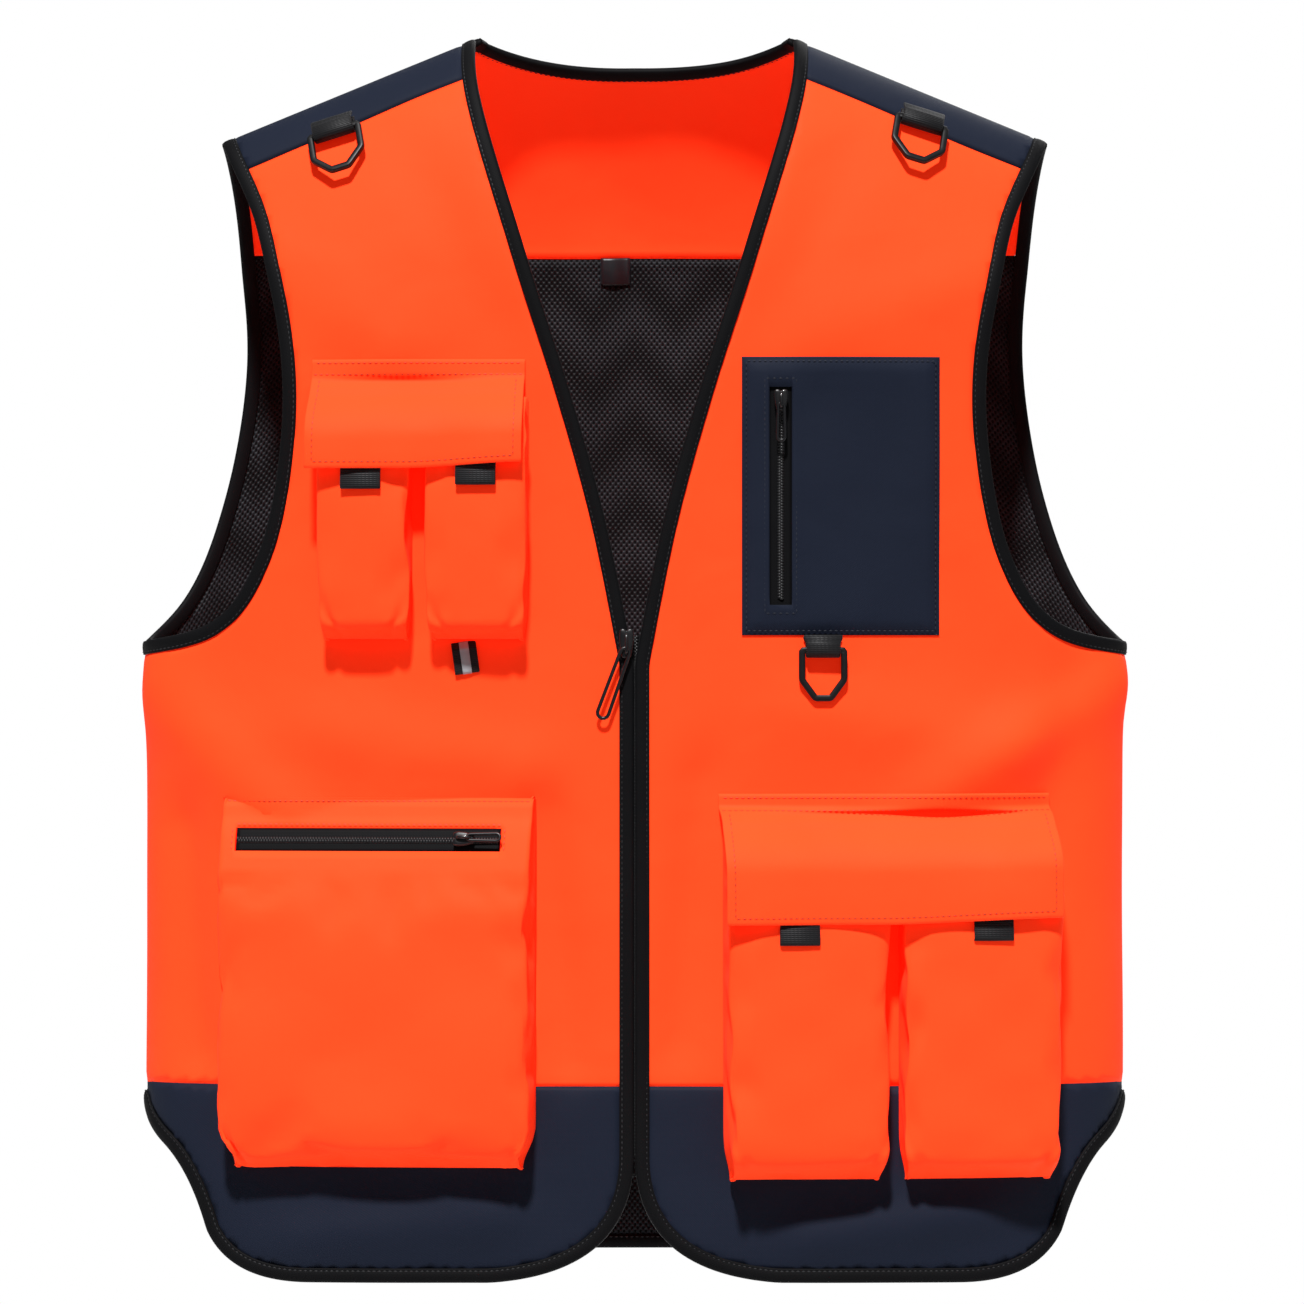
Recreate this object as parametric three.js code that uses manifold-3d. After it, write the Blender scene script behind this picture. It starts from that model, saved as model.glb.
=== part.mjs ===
// A sleeveless V-neck utility vest, hung upright and hollow, as it is worn.
// Millimetres, +Z up, the wearer faces -Y and the wearer's left is +X.
// The origin is where a hanger carries it: the middle, at the height of the neck's two peaks.
import Module from "manifold-3d";
import * as THREE from "three";
import { mergeVertices } from "three/addons/utils/BufferGeometryUtils.js";

const wasm = await Module();
wasm.setup();

// Driving dimensions of the body
const HALF_WIDTH = 295.5; // side seam
const HALF_DEPTH = 85; // chest and back
const SQUARENESS = 2.5; // exponent of the body's cross-section: 2 would be an ellipse
const SHOULDER_FALL = 180; // the height over which a shoulder rounds into the chest
const SHOULDER_SLOPE = 0.41;
const NECK_HALF = 93;
const LOWEST = -800; // below every hem

// Cloth and trim
const CLOTH = 1.6;
const GAP = 0.3;
const BINDING_WIDTH = 8.6;
const BINDING_PROUD = 0.7;
const SPLIT_Z = -150; // the fronts are free to swing below this
const YOKE_Z = -130;
const HEM_PANEL_Z = -631;
const STRAP_FRONT = 23; // how far the strap comes down from the ridge
const STRAP_BACK = 34;
const STRAP_INNER = 104; // where the straps meet the back yoke, beside the neck
const LAID_ON = 0.6; // clearance of anything sewn on the cloth
const BEHIND = -12; // where a pocket's shape starts, behind its plane, before the body is cut out of it

// Pockets: xa and xb are the outer and inner ends, on the side given
const CHEST = {
  side: -1, xa: 194, xb: 67, seam: -197, fold: -208, flap: -263, mouth: -220, bottom: -365,
  depth: 22, hinge: 6, pouches: [[190, 134], [126, 63]], tabs: [163, 94.5],
};
const CARGO = {
  side: 1, xa: 54, xb: 254, seam: -456, fold: -466, flap: -534, mouth: -480, bottom: -687,
  depth: 31, hinge: 13, pouches: [[57, 155], [160, 255]], tabs: [98.5, 214],
};
const BAG = { side: -1, xa: 249, xb: 63, top: -459, knee: -503, bottom: -683, upper: 11, depth: 27 };
const BAG_ZIP = { xa: 238, xb: 80, z: -483.5, height: 15, sliderFromEnd: 18 };
const BREAST = { side: 1, xa: 64, xb: 182, top: -196, bottom: -362, proud: 4.6, zipX: 87 };
const BREAST_ZIP = { top: -214, bottom: -344, width: 13 };
const FOOT_ROUND = 25; // the height over which a pouch or the bag turns in at its foot
const FOOT_BACK = 0.45; // where the foot ends, as a share of the depth
const MOUTH_SLOPE = 30; // a pouch widens to its full depth over this height
const FLAP_SLOPE = 33; // and its flap over this one
const FLAP_CLEAR = 4; // the flap's back in front of the pouch
const FLAP_FLARE = 2; // how much further out it hangs at its lower edge
const CORE_DEEP = -30; // what is cut from behind a pocket reaches in this far
const LABEL = { low: -145, high: -131, from: -21, to: -3 };

// Fastenings
// Rings: outer width, the width of the loop it hangs in, and how far the loop runs up the cloth
const SHOULDER_RING = { outer: 34, webbing: 25, tail: 9 };
const CHEST_RING = { outer: 29, webbing: 20.4, tail: 8 };
const RING_TALL = 30.4; // from the middle of its bar
const RING_BAR = 3.8;
const RING_PLAY = 1.1; // between a ring's bar and the loop round it
const LOOP_WALL = 1.4;
const CHAIN_WIDTH = 5;
const ZIP_STOP = 3; // the tape past each end of a pocket zip's coil
const CUT_OUT = 5; // a zip's slot is cut from this far outside the pocket's front
const CUT_DEEP = 12;
const MAIN_ZIP_TOP = -362;
const MAIN_ZIP_BOTTOM = -674;

const FABRIC = { roughness: 0.85, metalness: 0 };
const ORANGE = { color: 0xfc552d, ...FABRIC };
const NAVY = { color: 0x22262f, ...FABRIC };
const BLACK = { color: 0x17171a, ...FABRIC };
const MESH = { color: 0x101012, ...FABRIC };
const PLASTIC = { color: 0x131315, roughness: 0.35, metalness: 0 };
const ENAMEL = { color: 0x18181a, roughness: 0.35, metalness: 0.8 };
const SILVER = { color: 0x9a9da3, roughness: 0.5, metalness: 0.2 };

const group = new THREE.Group();

function addPiece(name, geometry, look, position, rotation) {
  const mesh = new THREE.Mesh(geometry, new THREE.MeshStandardMaterial(look));
  mesh.name = name;
  if (position) mesh.position.copy(position);
  if (rotation) mesh.rotation.copy(rotation);
  group.add(mesh);
}

// ---- solids ----

function solidOf(geometry) {
  const bare = new THREE.BufferGeometry();
  bare.setAttribute("position", geometry.getAttribute("position"));
  bare.setIndex(geometry.getIndex());
  const merged = mergeVertices(bare, 1e-4);
  return new wasm.Manifold(
    new wasm.Mesh({
      numProp: 3,
      vertProperties: merged.getAttribute("position").array,
      triVerts: Uint32Array.from(merged.getIndex().array),
    }),
  );
}

function geometryOf(solid) {
  const mesh = solid.getMesh();
  const geometry = new THREE.BufferGeometry();
  geometry.setAttribute("position", new THREE.BufferAttribute(mesh.vertProperties, 3));
  geometry.setIndex(new THREE.BufferAttribute(mesh.triVerts, 1));
  return geometry;
}

function box(low, high) {
  const size = high.map((value, i) => value - low[i]);
  const geometry = new THREE.BoxGeometry(...size);
  return geometry.translate(...low.map((value, i) => value + size[i] / 2));
}

// ---- the body's surface ----

function depthAt(x) {
  const share = Math.min(1, Math.abs(x) / HALF_WIDTH);
  return HALF_DEPTH * (1 - share ** SQUARENESS) ** (1 / SQUARENESS);
}

function shoulderHeight(x) {
  return -SHOULDER_SLOPE * Math.max(0, Math.abs(x) - NECK_HALF);
}

// across runs from -1 to 1, side seam to side seam; over is negative on the front, positive on the
// back, 0 on the shoulder ridge, and past 1 it is below the shoulder's round.
function bodyPoint(across, over) {
  const turn = (across * Math.PI) / 2;
  const x = HALF_WIDTH * Math.sign(turn) * Math.abs(Math.sin(turn)) ** (2 / SQUARENESS);
  const round = (Math.max(-1, Math.min(1, over)) * Math.PI) / 2;
  const y = HALF_DEPTH * Math.abs(Math.cos(turn)) ** (2 / SQUARENESS) * Math.sin(round);
  const rounded = shoulderHeight(x) - SHOULDER_FALL * (1 - Math.cos(round));
  const below = Math.max(0, Math.abs(over) - 1);
  return new THREE.Vector3(x, y, rounded + below * (LOWEST - rounded));
}

function outwardAt(across, over) {
  const step = 1e-4;
  const alongX = bodyPoint(across + step, over).sub(bodyPoint(across - step, over));
  const alongOver = bodyPoint(across, over + step).sub(bodyPoint(across, over - step));
  return alongX.cross(alongOver).normalize();
}

// The point of the front at x and z, its outward normal and its two tangents
function frontFrame(x, z) {
  const at = (px, pz) => {
    const fall = Math.min(1, Math.max(0, (shoulderHeight(px) - pz) / SHOULDER_FALL));
    return new THREE.Vector3(px, -depthAt(px) * Math.sqrt(1 - (1 - fall) ** 2), pz);
  };
  const origin = at(x, z);
  const side = at(x + 1, z).sub(at(x - 1, z)).normalize();
  const up = at(x, z + 1).sub(at(x, z - 1)).normalize();
  const normal = side.clone().cross(up).normalize();
  return { origin, side, up, normal };
}

const COLUMNS = 25;
const ROUND_ROWS = 10;
const ACROSS_END = 0.9985;

function gridValues(count, from, to) {
  return Array.from({ length: count }, (_, i) => from + ((to - from) * i) / (count - 1));
}

// A closed sheet of the whole body, from one offset of its surface to another
function bodyShell(inner, outer) {
  const across = gridValues(COLUMNS, -ACROSS_END, ACROSS_END);
  const over = [-1.99, ...gridValues(2 * ROUND_ROWS + 1, -1, 1), 1.99];
  const positions = [];
  for (const offset of [inner, outer]) {
    for (const row of over) {
      for (const column of across) {
        const point = bodyPoint(column, row).addScaledVector(outwardAt(column, row), offset);
        positions.push(...point.toArray());
      }
    }
  }
  const geometry = new THREE.BufferGeometry();
  geometry.setAttribute("position", new THREE.Float32BufferAttribute(positions, 3));
  geometry.setIndex(sheetFaces(over.length, across.length));
  return solidOf(geometry);
}

function sheetFaces(rows, columns) {
  const index = [];
  const top = rows * columns;
  const quad = (a, b, c, d) => index.push(a, b, c, a, c, d);
  for (let r = 0; r + 1 < rows; r += 1) {
    for (let c = 0; c + 1 < columns; c += 1) {
      const a = r * columns + c;
      const b = a + columns;
      quad(a, b, b + 1, a + 1);
      quad(top + a, top + a + 1, top + b + 1, top + b);
    }
  }
  const rim = [];
  for (let c = 0; c + 1 < columns; c += 1) rim.push(c);
  for (let r = 0; r + 1 < rows; r += 1) rim.push(r * columns + columns - 1);
  for (let c = columns - 1; c > 0; c -= 1) rim.push((rows - 1) * columns + c);
  for (let r = rows - 1; r > 0; r -= 1) rim.push(r * columns);
  rim.forEach((a, i) => {
    const b = rim[(i + 1) % rim.length];
    quad(a, b, top + b, top + a);
  });
  return index;
}

// ---- outlines, as lists of points in x and z, for the +X side ----

const point = (x, z) => new THREE.Vector2(x, z);

function bend(from, through, to, steps = 8) {
  const curve = new THREE.QuadraticBezierCurve(point(...from), point(...through), point(...to));
  return curve.getPoints(steps);
}

function smooth(...points) {
  return new THREE.SplineCurve(points.map((p) => point(...p))).getPoints(4 * (points.length - 1));
}

function mirrored(line, side) {
  return side > 0 ? line : line.map((p) => point(-p.x, p.y));
}

// The line moved sideways, to its left hand as it runs
function moved(line, distance) {
  return line.map((p, i) => {
    const before = line[Math.max(0, i - 1)];
    const after = line[Math.min(line.length - 1, i + 1)];
    const way = after.clone().sub(before).normalize();
    return point(p.x - way.y * distance, p.y + way.x * distance);
  });
}

const FRONT_EDGE = [
  ...smooth([93, 25], [94.5, -30], [66, -130], [39, -215], [17.5, -293], [0.4, -378]),
  ...bend([0.4, -676], [3, -742], [86, -748]),
  ...bend([195, -748.5], [243, -748.5], [257, -718]),
  ...bend([257, -718], [267, -684], [283, -668]).slice(1),
  ...bend([283, -668], [296, -656], [299, -641]).slice(1),
  point(315, -630),
];
const FRONT_ARMHOLE = smooth(
  [264, -30], [247, -70], [226, -120], [212, -190], [212, -250], [226, -315], [256, -355], [320, -369],
);
const BACK_ARMHOLE = smooth(
  [264, -30], [250, -66], [240, -135], [238, -200], [251, -277], [276, -340], [320, -386],
);
const BACK_NECK = [...bend([103, 6], [62, -17], [0, -16]), point(-1, -16)];
const BACK_EDGE = [
  point(-1, -739),
  ...bend([190, -739], [240, -739], [252, -712]),
  ...bend([252, -712], [265, -684], [283, -668]).slice(1),
  ...bend([283, -668], [296, -656], [299, -641]).slice(1),
  point(315, -630),
];

const FRONT = -1;
const BACK = 1;
const THROUGH = 200; // how far a cutting prism reaches from the ridge
const OVER_RIDGE = 0.002; // and how far past it, so that a front and a back share join up

// A prism of the outline, through the front or through the back
function prism(outline, face) {
  const shape = new THREE.Shape(outline);
  const geometry = new THREE.ExtrudeGeometry(shape, { depth: THROUGH, bevelEnabled: false });
  geometry.rotateX(Math.PI / 2);
  geometry.translate(0, face === BACK ? THROUGH - OVER_RIDGE : OVER_RIDGE, 0);
  return solidOf(geometry);
}

function band(low, high, face) {
  const wide = 400;
  return prism([point(-wide, low), point(wide, low), point(wide, high), point(-wide, high)], face);
}

// The strip of binding inside an edge. hand is 1 where the cloth lies to the left as the edge runs.
function strip(edge, hand, side, face) {
  const seam = moved(edge, hand * BINDING_WIDTH).reverse();
  return prism(mirrored([...edge, ...seam], side), face);
}

const INSET = BINDING_WIDTH + GAP;
const cloth = bodyShell(-CLOTH, 0);
const bound = bodyShell(-CLOTH - BINDING_PROUD, BINDING_PROUD);
const core = bodyShell(CORE_DEEP, LAID_ON); // what lies under anything sewn on

// Everything of one front inside its bindings
function frontOutline(side) {
  const edge = moved(FRONT_EDGE, INSET);
  const armhole = moved(FRONT_ARMHOLE, -INSET).reverse();
  return prism(mirrored([...edge, ...armhole], side), FRONT);
}

function backOutline(side) {
  const hem = moved(BACK_EDGE, INSET);
  const armhole = moved(BACK_ARMHOLE, -INSET).reverse();
  const neck = moved(BACK_NECK, INSET);
  return prism(mirrored([...hem, ...armhole, ...neck], side), BACK);
}

// The shoulder strap's share of the cloth: from the neck's seam outwards, down to its lower seam
function strapShare(side, face, grow) {
  const fall = (face === FRONT ? STRAP_FRONT : STRAP_BACK) + grow;
  const inner = face === FRONT ? NECK_HALF : STRAP_INNER - grow;
  const outer = HALF_WIDTH;
  const corners = [
    point(inner, 40),
    point(inner, shoulderHeight(inner) - fall),
    point(outer, shoulderHeight(outer) - fall),
    point(outer, 40),
  ];
  return prism(mirrored(corners, side), face);
}

const LEFT = { name: "left", side: 1 };
const RIGHT = { name: "right", side: -1 };

function buildBack() {
  const outline = backOutline(1).add(backOutline(-1));
  const straps = strapShare(1, BACK, GAP).add(strapShare(-1, BACK, GAP));
  const ridge = solidOf(box([-STRAP_INNER, -1, -20], [STRAP_INNER, OVER_RIDGE + GAP, 20]));
  const yoke = outline.intersect(band(YOKE_Z, 20, BACK)).subtract(straps).subtract(ridge);
  addPiece("back_yoke", geometryOf(cloth.intersect(yoke)), ORANGE);
  const mesh = outline.intersect(band(LOWEST, YOKE_Z - GAP, BACK));
  addPiece("back_mesh_panel", geometryOf(cloth.intersect(mesh)), MESH);
  const hem = strip(BACK_EDGE, 1, 1, BACK).add(strip(BACK_EDGE, 1, -1, BACK));
  addPiece("back_hem_binding", geometryOf(bound.intersect(hem)), BLACK);
  const { low, high, from, to } = LABEL;
  const corners = [point(from, low), point(to, low), point(to, high), point(from, high)];
  const label = bodyShell(-CLOTH - 1.2, -CLOTH - GAP).intersect(prism(corners, BACK));
  addPiece("neck_label", geometryOf(label), BLACK);
}

function buildNeckBinding() {
  const reach = NECK_HALF + BINDING_WIDTH;
  const between = solidOf(box([-reach, -1, -60], [reach, THROUGH, 60]));
  let outline = strip(BACK_NECK, 1, 1, BACK).add(strip(BACK_NECK, 1, -1, BACK)).intersect(between);
  for (const side of [1, -1]) {
    outline = outline.add(strip(FRONT_EDGE, 1, side, FRONT).intersect(band(SPLIT_Z, 60, FRONT)));
  }
  addPiece("neck_binding", geometryOf(bound.intersect(outline)), BLACK);
}

// What stays with the shoulders on one side
function buildShoulder({ name, side }) {
  const front = frontOutline(side);
  const strap = front
    .intersect(strapShare(side, FRONT, 0))
    .add(backOutline(side).intersect(strapShare(side, BACK, 0)));
  addPiece(`${name}_shoulder_strap`, geometryOf(cloth.intersect(strap)), NAVY);
  const upper = front.intersect(band(SPLIT_Z, 60, FRONT)).subtract(strapShare(side, FRONT, GAP));
  addPiece(`${name}_front_upper`, geometryOf(cloth.intersect(upper)), ORANGE);
  const armhole = strip(FRONT_ARMHOLE, -1, side, FRONT)
    .intersect(band(SPLIT_Z, 60, FRONT))
    .add(strip(BACK_ARMHOLE, -1, side, BACK));
  addPiece(`${name}_armhole_binding`, geometryOf(bound.intersect(armhole)), BLACK);
}

// One half of the main zip: its tape behind the binding, its coil along the tape's edge
function zipHalf(side) {
  const reach = (near, far) => {
    const corners = [
      point(near, MAIN_ZIP_BOTTOM),
      point(far, MAIN_ZIP_BOTTOM),
      point(far, MAIN_ZIP_TOP),
      point(near, MAIN_ZIP_TOP),
    ];
    return prism(mirrored(corners, side), FRONT);
  };
  const behind = -CLOTH - BINDING_PROUD - GAP;
  const tape = bodyShell(behind - 0.8, behind).intersect(reach(0.2, 17));
  return tape.add(bodyShell(behind - 2.4, behind).intersect(reach(0.2, CHAIN_WIDTH / 2)));
}

// What swings with one front
function buildFront({ name, side }) {
  const front = frontOutline(side);
  const below = (high) => band(LOWEST, high, FRONT);
  const panel = front.intersect(band(HEM_PANEL_Z, SPLIT_Z - GAP, FRONT));
  addPiece(`${name}_front_panel`, geometryOf(cloth.intersect(panel)), ORANGE);
  const hem = front.intersect(below(HEM_PANEL_Z - GAP));
  addPiece(`${name}_hem_panel`, geometryOf(cloth.intersect(hem)), NAVY);
  const edge = strip(FRONT_EDGE, 1, side, FRONT).intersect(below(SPLIT_Z - GAP));
  addPiece(`${name}_edge_binding`, geometryOf(bound.intersect(edge)), BLACK);
  const armhole = strip(FRONT_ARMHOLE, -1, side, FRONT).intersect(below(SPLIT_Z - GAP));
  addPiece(`${name}_armhole_front_binding`, geometryOf(bound.intersect(armhole)), BLACK);
  addPiece(`${name}_zip_half`, geometryOf(zipHalf(side)), BLACK);
}

function buildZipEnds() {
  const y = -HALF_DEPTH + CLOTH + BINDING_PROUD + GAP;
  const low = MAIN_ZIP_BOTTOM - 11;
  const high = MAIN_ZIP_BOTTOM - GAP;
  addPiece("zip_retainer_box", box([-6, y, low], [-0.2, y + 3.4, high]), PLASTIC);
  addPiece("zip_insert_pin", box([0.2, y, low], [3, y + 2.6, high]), PLASTIC);
}

// ---- pockets: each is flat-fronted, in a plane turned about Z to follow the body ----

// Outward is -Y in the plane's own frame, and x runs from its middle
function pocketPlane({ side, xa, xb }) {
  const ends = [side * xa, side * xb].sort((a, b) => a - b);
  const [a, b] = ends.map((x) => new THREE.Vector3(x, -depthAt(x), 0));
  const turn = Math.atan2(b.y - a.y, b.x - a.x);
  const middle = a.clone().add(b).multiplyScalar(0.5);
  const matrix = new THREE.Matrix4().makeRotationZ(turn).setPosition(middle);
  return { matrix, turn, middle, along: (x) => (x - middle.x) / Math.cos(turn) };
}

// Where a piece's two ends lie along the pocket's plane, the lesser first
function reachAlong(plane, side, ends) {
  return ends.map((x) => plane.along(side * x)).sort((a, b) => a - b);
}

// A side view (outward, z) carried from one end to the other along the pocket's plane
function carried(profile, from, to, plane) {
  const shape = new THREE.Shape(profile.map(([out, z]) => point(-out, z)));
  const geometry = new THREE.ExtrudeGeometry(shape, { depth: to - from, bevelEnabled: false });
  geometry.applyMatrix4(
    new THREE.Matrix4().makeBasis(
      new THREE.Vector3(0, 1, 0),
      new THREE.Vector3(0, 0, 1),
      new THREE.Vector3(1, 0, 0),
    ),
  );
  return solidOf(geometry.translate(from, 0, 0).applyMatrix4(plane.matrix));
}

function footLine(full, bottom, inner) {
  const low = bottom + inner;
  return bend([full, bottom + FOOT_ROUND], [full, low], [full * FOOT_BACK, low], 4);
}

// The front line of a pouch from its mouth to its turned-in foot, as (outward, z)
function pouchFront({ mouth, bottom, depth, hinge }, inner) {
  const full = depth - inner;
  const foot = footLine(full, bottom, inner);
  const mouthOut = hinge + 5 - inner;
  return [[mouthOut, mouth], [full, mouth - MOUTH_SLOPE], ...foot.map((p) => [p.x, p.y])];
}

// A pouch is a front, two sides and a foot, open at its mouth and closed behind by the panel
function pouchSolid(pocket, plane, ends) {
  const [from, to] = reachAlong(plane, pocket.side, ends);
  const outer = [[BEHIND, pocket.mouth], ...pouchFront(pocket, 0), [BEHIND, pocket.bottom]];
  const inner = pouchFront({ ...pocket, mouth: pocket.mouth + 1 }, CLOTH);
  const hollow = [[BEHIND - 1, pocket.mouth + 1], ...inner, [BEHIND - 1, pocket.bottom + CLOTH]];
  return carried(outer, from, to, plane)
    .subtract(carried(hollow, from + CLOTH, to - CLOTH, plane))
    .subtract(core);
}

// The flap's line from its fold down over the pouches, as (outward, z)
function flapLine({ hinge, depth, fold, flap }, out) {
  const top = fold - CLOTH / 2;
  const full = depth + FLAP_CLEAR + out;
  return [[hinge + out, top], [full, top - FLAP_SLOPE], [full + FLAP_FLARE, flap]];
}

function flapSolid(pocket, plane) {
  const [from, to] = reachAlong(plane, pocket.side, [pocket.xa, pocket.xb]);
  const line = [...flapLine(pocket, 0), ...flapLine(pocket, CLOTH).reverse()];
  return carried(line, from, to, plane);
}

function facingSolid({ side, xa, xb, seam, fold }) {
  const corners = [point(xa, fold), point(xb, fold), point(xb, seam), point(xa, seam)];
  return bodyShell(LAID_ON, LAID_ON + CLOTH).intersect(prism(mirrored(corners, side), FRONT));
}

const PATCH = { width: 22, tall: 16, thick: 1.1 };
const TAB = { width: 24, tall: 12.5, thick: 1.8 };

function plate(width, tall, thick, plane, x, out, top) {
  const profile = [[out, top], [out + thick, top], [out + thick, top - tall], [out, top - tall]];
  return geometryOf(carried(profile, plane.along(x) - width / 2, plane.along(x) + width / 2, plane));
}

function buildFlapPocket(prefix, pocket) {
  const plane = pocketPlane(pocket);
  addPiece(`${prefix}_facing`, geometryOf(facingSolid(pocket)), ORANGE);
  addPiece(`${prefix}_flap`, geometryOf(flapSolid(pocket, plane)), ORANGE);
  const patchTop = pocket.flap + 20;
  const reach = Math.abs(pocket.xa - pocket.xb) - 30;
  const middle = (pocket.side * (pocket.xa + pocket.xb)) / 2;
  const strip = plate(reach, PATCH.tall, PATCH.thick, plane, middle, pocket.depth + 2.6, patchTop);
  addPiece(`${prefix}_hook_strip`, strip, BLACK);
  pocket.pouches.forEach((ends, i) => {
    const where = ["outer", "inner"][pocket.side < 0 ? i : 1 - i];
    addPiece(`${prefix}_pouch_${where}`, geometryOf(pouchSolid(pocket, plane, ends)), ORANGE);
    const x = (pocket.side * (ends[0] + ends[1])) / 2;
    const patch = plate(PATCH.width, PATCH.tall, PATCH.thick, plane, x, pocket.depth + GAP, patchTop);
    addPiece(`${prefix}_loop_patch_${where}`, patch, BLACK);
    const tabX = pocket.side * pocket.tabs[i];
    const tabOut = pocket.depth + FLAP_CLEAR + FLAP_FLARE;
    const tab = plate(TAB.width, TAB.tall, TAB.thick, plane, tabX, tabOut, pocket.flap - GAP);
    addPiece(`${prefix}_flap_tab_${where}`, tab, BLACK);
  });
}

// The large zipped pocket: its front leans out to its knee, then hangs down to a turned-in foot
const BAG_LEAN = Math.atan2(BAG.depth - BAG.upper, BAG.top - BAG.knee);

function bagFront(inner) {
  const { top, knee, bottom, upper, depth } = BAG;
  const full = depth - inner;
  const foot = footLine(full, bottom, inner);
  return [[upper - inner, top - inner], [full, knee], ...foot.map((p) => [p.x, p.y])];
}

// A bar lying in the leaning part of the bag's front
function leaningBar(xa, xb, tall, outer, thick, plane) {
  const [from, to] = reachAlong(plane, BAG.side, [xa, xb]);
  const along = (BAG.top - BAG_ZIP.z) / Math.cos(BAG_LEAN);
  const at = (out, down) => [
    BAG.upper + Math.sin(BAG_LEAN) * (along + down) + Math.cos(BAG_LEAN) * out,
    BAG.top - Math.cos(BAG_LEAN) * (along + down) + Math.sin(BAG_LEAN) * out,
  ];
  const half = tall / 2;
  const inner = outer - thick;
  return carried([at(inner, -half), at(outer, -half), at(outer, half), at(inner, half)], from, to, plane);
}

function buildBag() {
  const plane = pocketPlane(BAG);
  const [from, to] = reachAlong(plane, BAG.side, [BAG.xa, BAG.xb]);
  const outer = [[BEHIND, BAG.top], ...bagFront(0), [BEHIND, BAG.bottom]];
  const hollow = [[BEHIND - 1, BAG.top - CLOTH], ...bagFront(CLOTH), [BEHIND - 1, BAG.bottom + CLOTH]];
  const slot = leaningBar(BAG_ZIP.xa, BAG_ZIP.xb, BAG_ZIP.height, CUT_OUT, CUT_DEEP, plane);
  const bag = carried(outer, from, to, plane)
    .subtract(carried(hollow, from + CLOTH, to - CLOTH, plane))
    .subtract(core)
    .subtract(slot);
  addPiece("zip_pocket_bag", geometryOf(bag), ORANGE);
  const { xa, xb, height } = BAG_ZIP;
  const tape = leaningBar(xa - GAP, xb + GAP, height - 2 * GAP, 0, 0.8, plane).subtract(
    leaningBar(xa - ZIP_STOP, xb + ZIP_STOP, CHAIN_WIDTH + 2 * GAP, CUT_OUT, CUT_DEEP, plane),
  );
  addPiece("zip_pocket_tape", geometryOf(tape), BLACK);
  const chain = leaningBar(xa - ZIP_STOP - GAP, xb + ZIP_STOP + GAP, CHAIN_WIDTH, 0.8, 2, plane);
  addPiece("zip_pocket_chain", geometryOf(chain), BLACK);
}

// The flat zipped pocket on the left chest
function buildBreastPocket() {
  const { side, xa, xb, top, bottom, proud, zipX } = BREAST;
  const face = (a, b, low, high) =>
    prism(mirrored([point(a, low), point(b, low), point(b, high), point(a, high)], side), FRONT);
  const half = BREAST_ZIP.width / 2;
  const slot = face(zipX - half, zipX + half, BREAST_ZIP.bottom, BREAST_ZIP.top);
  const hollow = face(xa + CLOTH, xb - CLOTH, bottom + CLOTH, top - CLOTH);
  const pocket = bodyShell(LAID_ON, proud)
    .intersect(face(xa, xb, bottom, top))
    .subtract(bodyShell(-1, proud - CLOTH).intersect(hollow))
    .subtract(slot);
  addPiece("breast_pocket", geometryOf(pocket), NAVY);
  const inside = face(
    zipX - half + GAP,
    zipX + half - GAP,
    BREAST_ZIP.bottom + GAP,
    BREAST_ZIP.top - GAP,
  );
  const coil = CHAIN_WIDTH / 2;
  const low = BREAST_ZIP.bottom + ZIP_STOP;
  const high = BREAST_ZIP.top - ZIP_STOP;
  const middle = face(zipX - coil - GAP, zipX + coil + GAP, low, high);
  const tape = bodyShell(proud - 1.2, proud - 0.4).intersect(inside).subtract(middle);
  addPiece("breast_zip_tape", geometryOf(tape), BLACK);
  const chain = face(zipX - coil, zipX + coil, low + GAP, high - GAP);
  addPiece("breast_zip_chain", geometryOf(bodyShell(proud - 1.6, proud + 0.6).intersect(chain)), BLACK);
}

// ---- zip sliders and pullers, in a frame with -Y outward and z along the zip ----

function sliderGeometry(width, tall) {
  const half = width / 2;
  const waist = half * 0.72;
  const outline = [
    point(-half, tall / 2), point(half, tall / 2), point(half, tall * 0.1),
    point(waist, -tall / 2), point(-waist, -tall / 2), point(-half, tall * 0.1),
  ];
  const body = new THREE.ExtrudeGeometry(new THREE.Shape(outline), { depth: 2.4, bevelEnabled: false });
  body.rotateX(Math.PI / 2);
  const bridge = solidOf(box([-1.1, -5.6, -tall / 2 + 1], [1.1, -2, tall / 2 - 1]));
  const eye = solidOf(box([-2, -4.7, -tall / 2 + 2.4], [2, -2.4, tall / 2 - 2.4]));
  return geometryOf(solidOf(body).add(bridge).subtract(eye));
}

// A flat loop hanging from its own crossbar, which is at the origin
function pullerGeometry(width, tall, wire, thick) {
  const shape = new THREE.Shape();
  const half = width / 2;
  shape.moveTo(-half, wire / 2);
  shape.lineTo(-half, half - tall);
  shape.absarc(0, half - tall, half, Math.PI, 2 * Math.PI);
  shape.lineTo(half, wire / 2);
  const hole = new THREE.Path();
  const inner = half - wire;
  hole.moveTo(inner, -wire / 2);
  hole.lineTo(inner, half - tall);
  hole.absarc(0, half - tall, inner, 0, Math.PI, true);
  hole.lineTo(-inner, -wire / 2);
  shape.holes.push(hole);
  const depth = thick;
  const geometry = new THREE.ExtrudeGeometry(shape, { depth, bevelEnabled: false, curveSegments: 8 });
  return geometry.rotateX(Math.PI / 2).translate(0, thick / 2, 0);
}

const PULLER_OUT = 3.6; // from the slider's back to its crossbar

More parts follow.
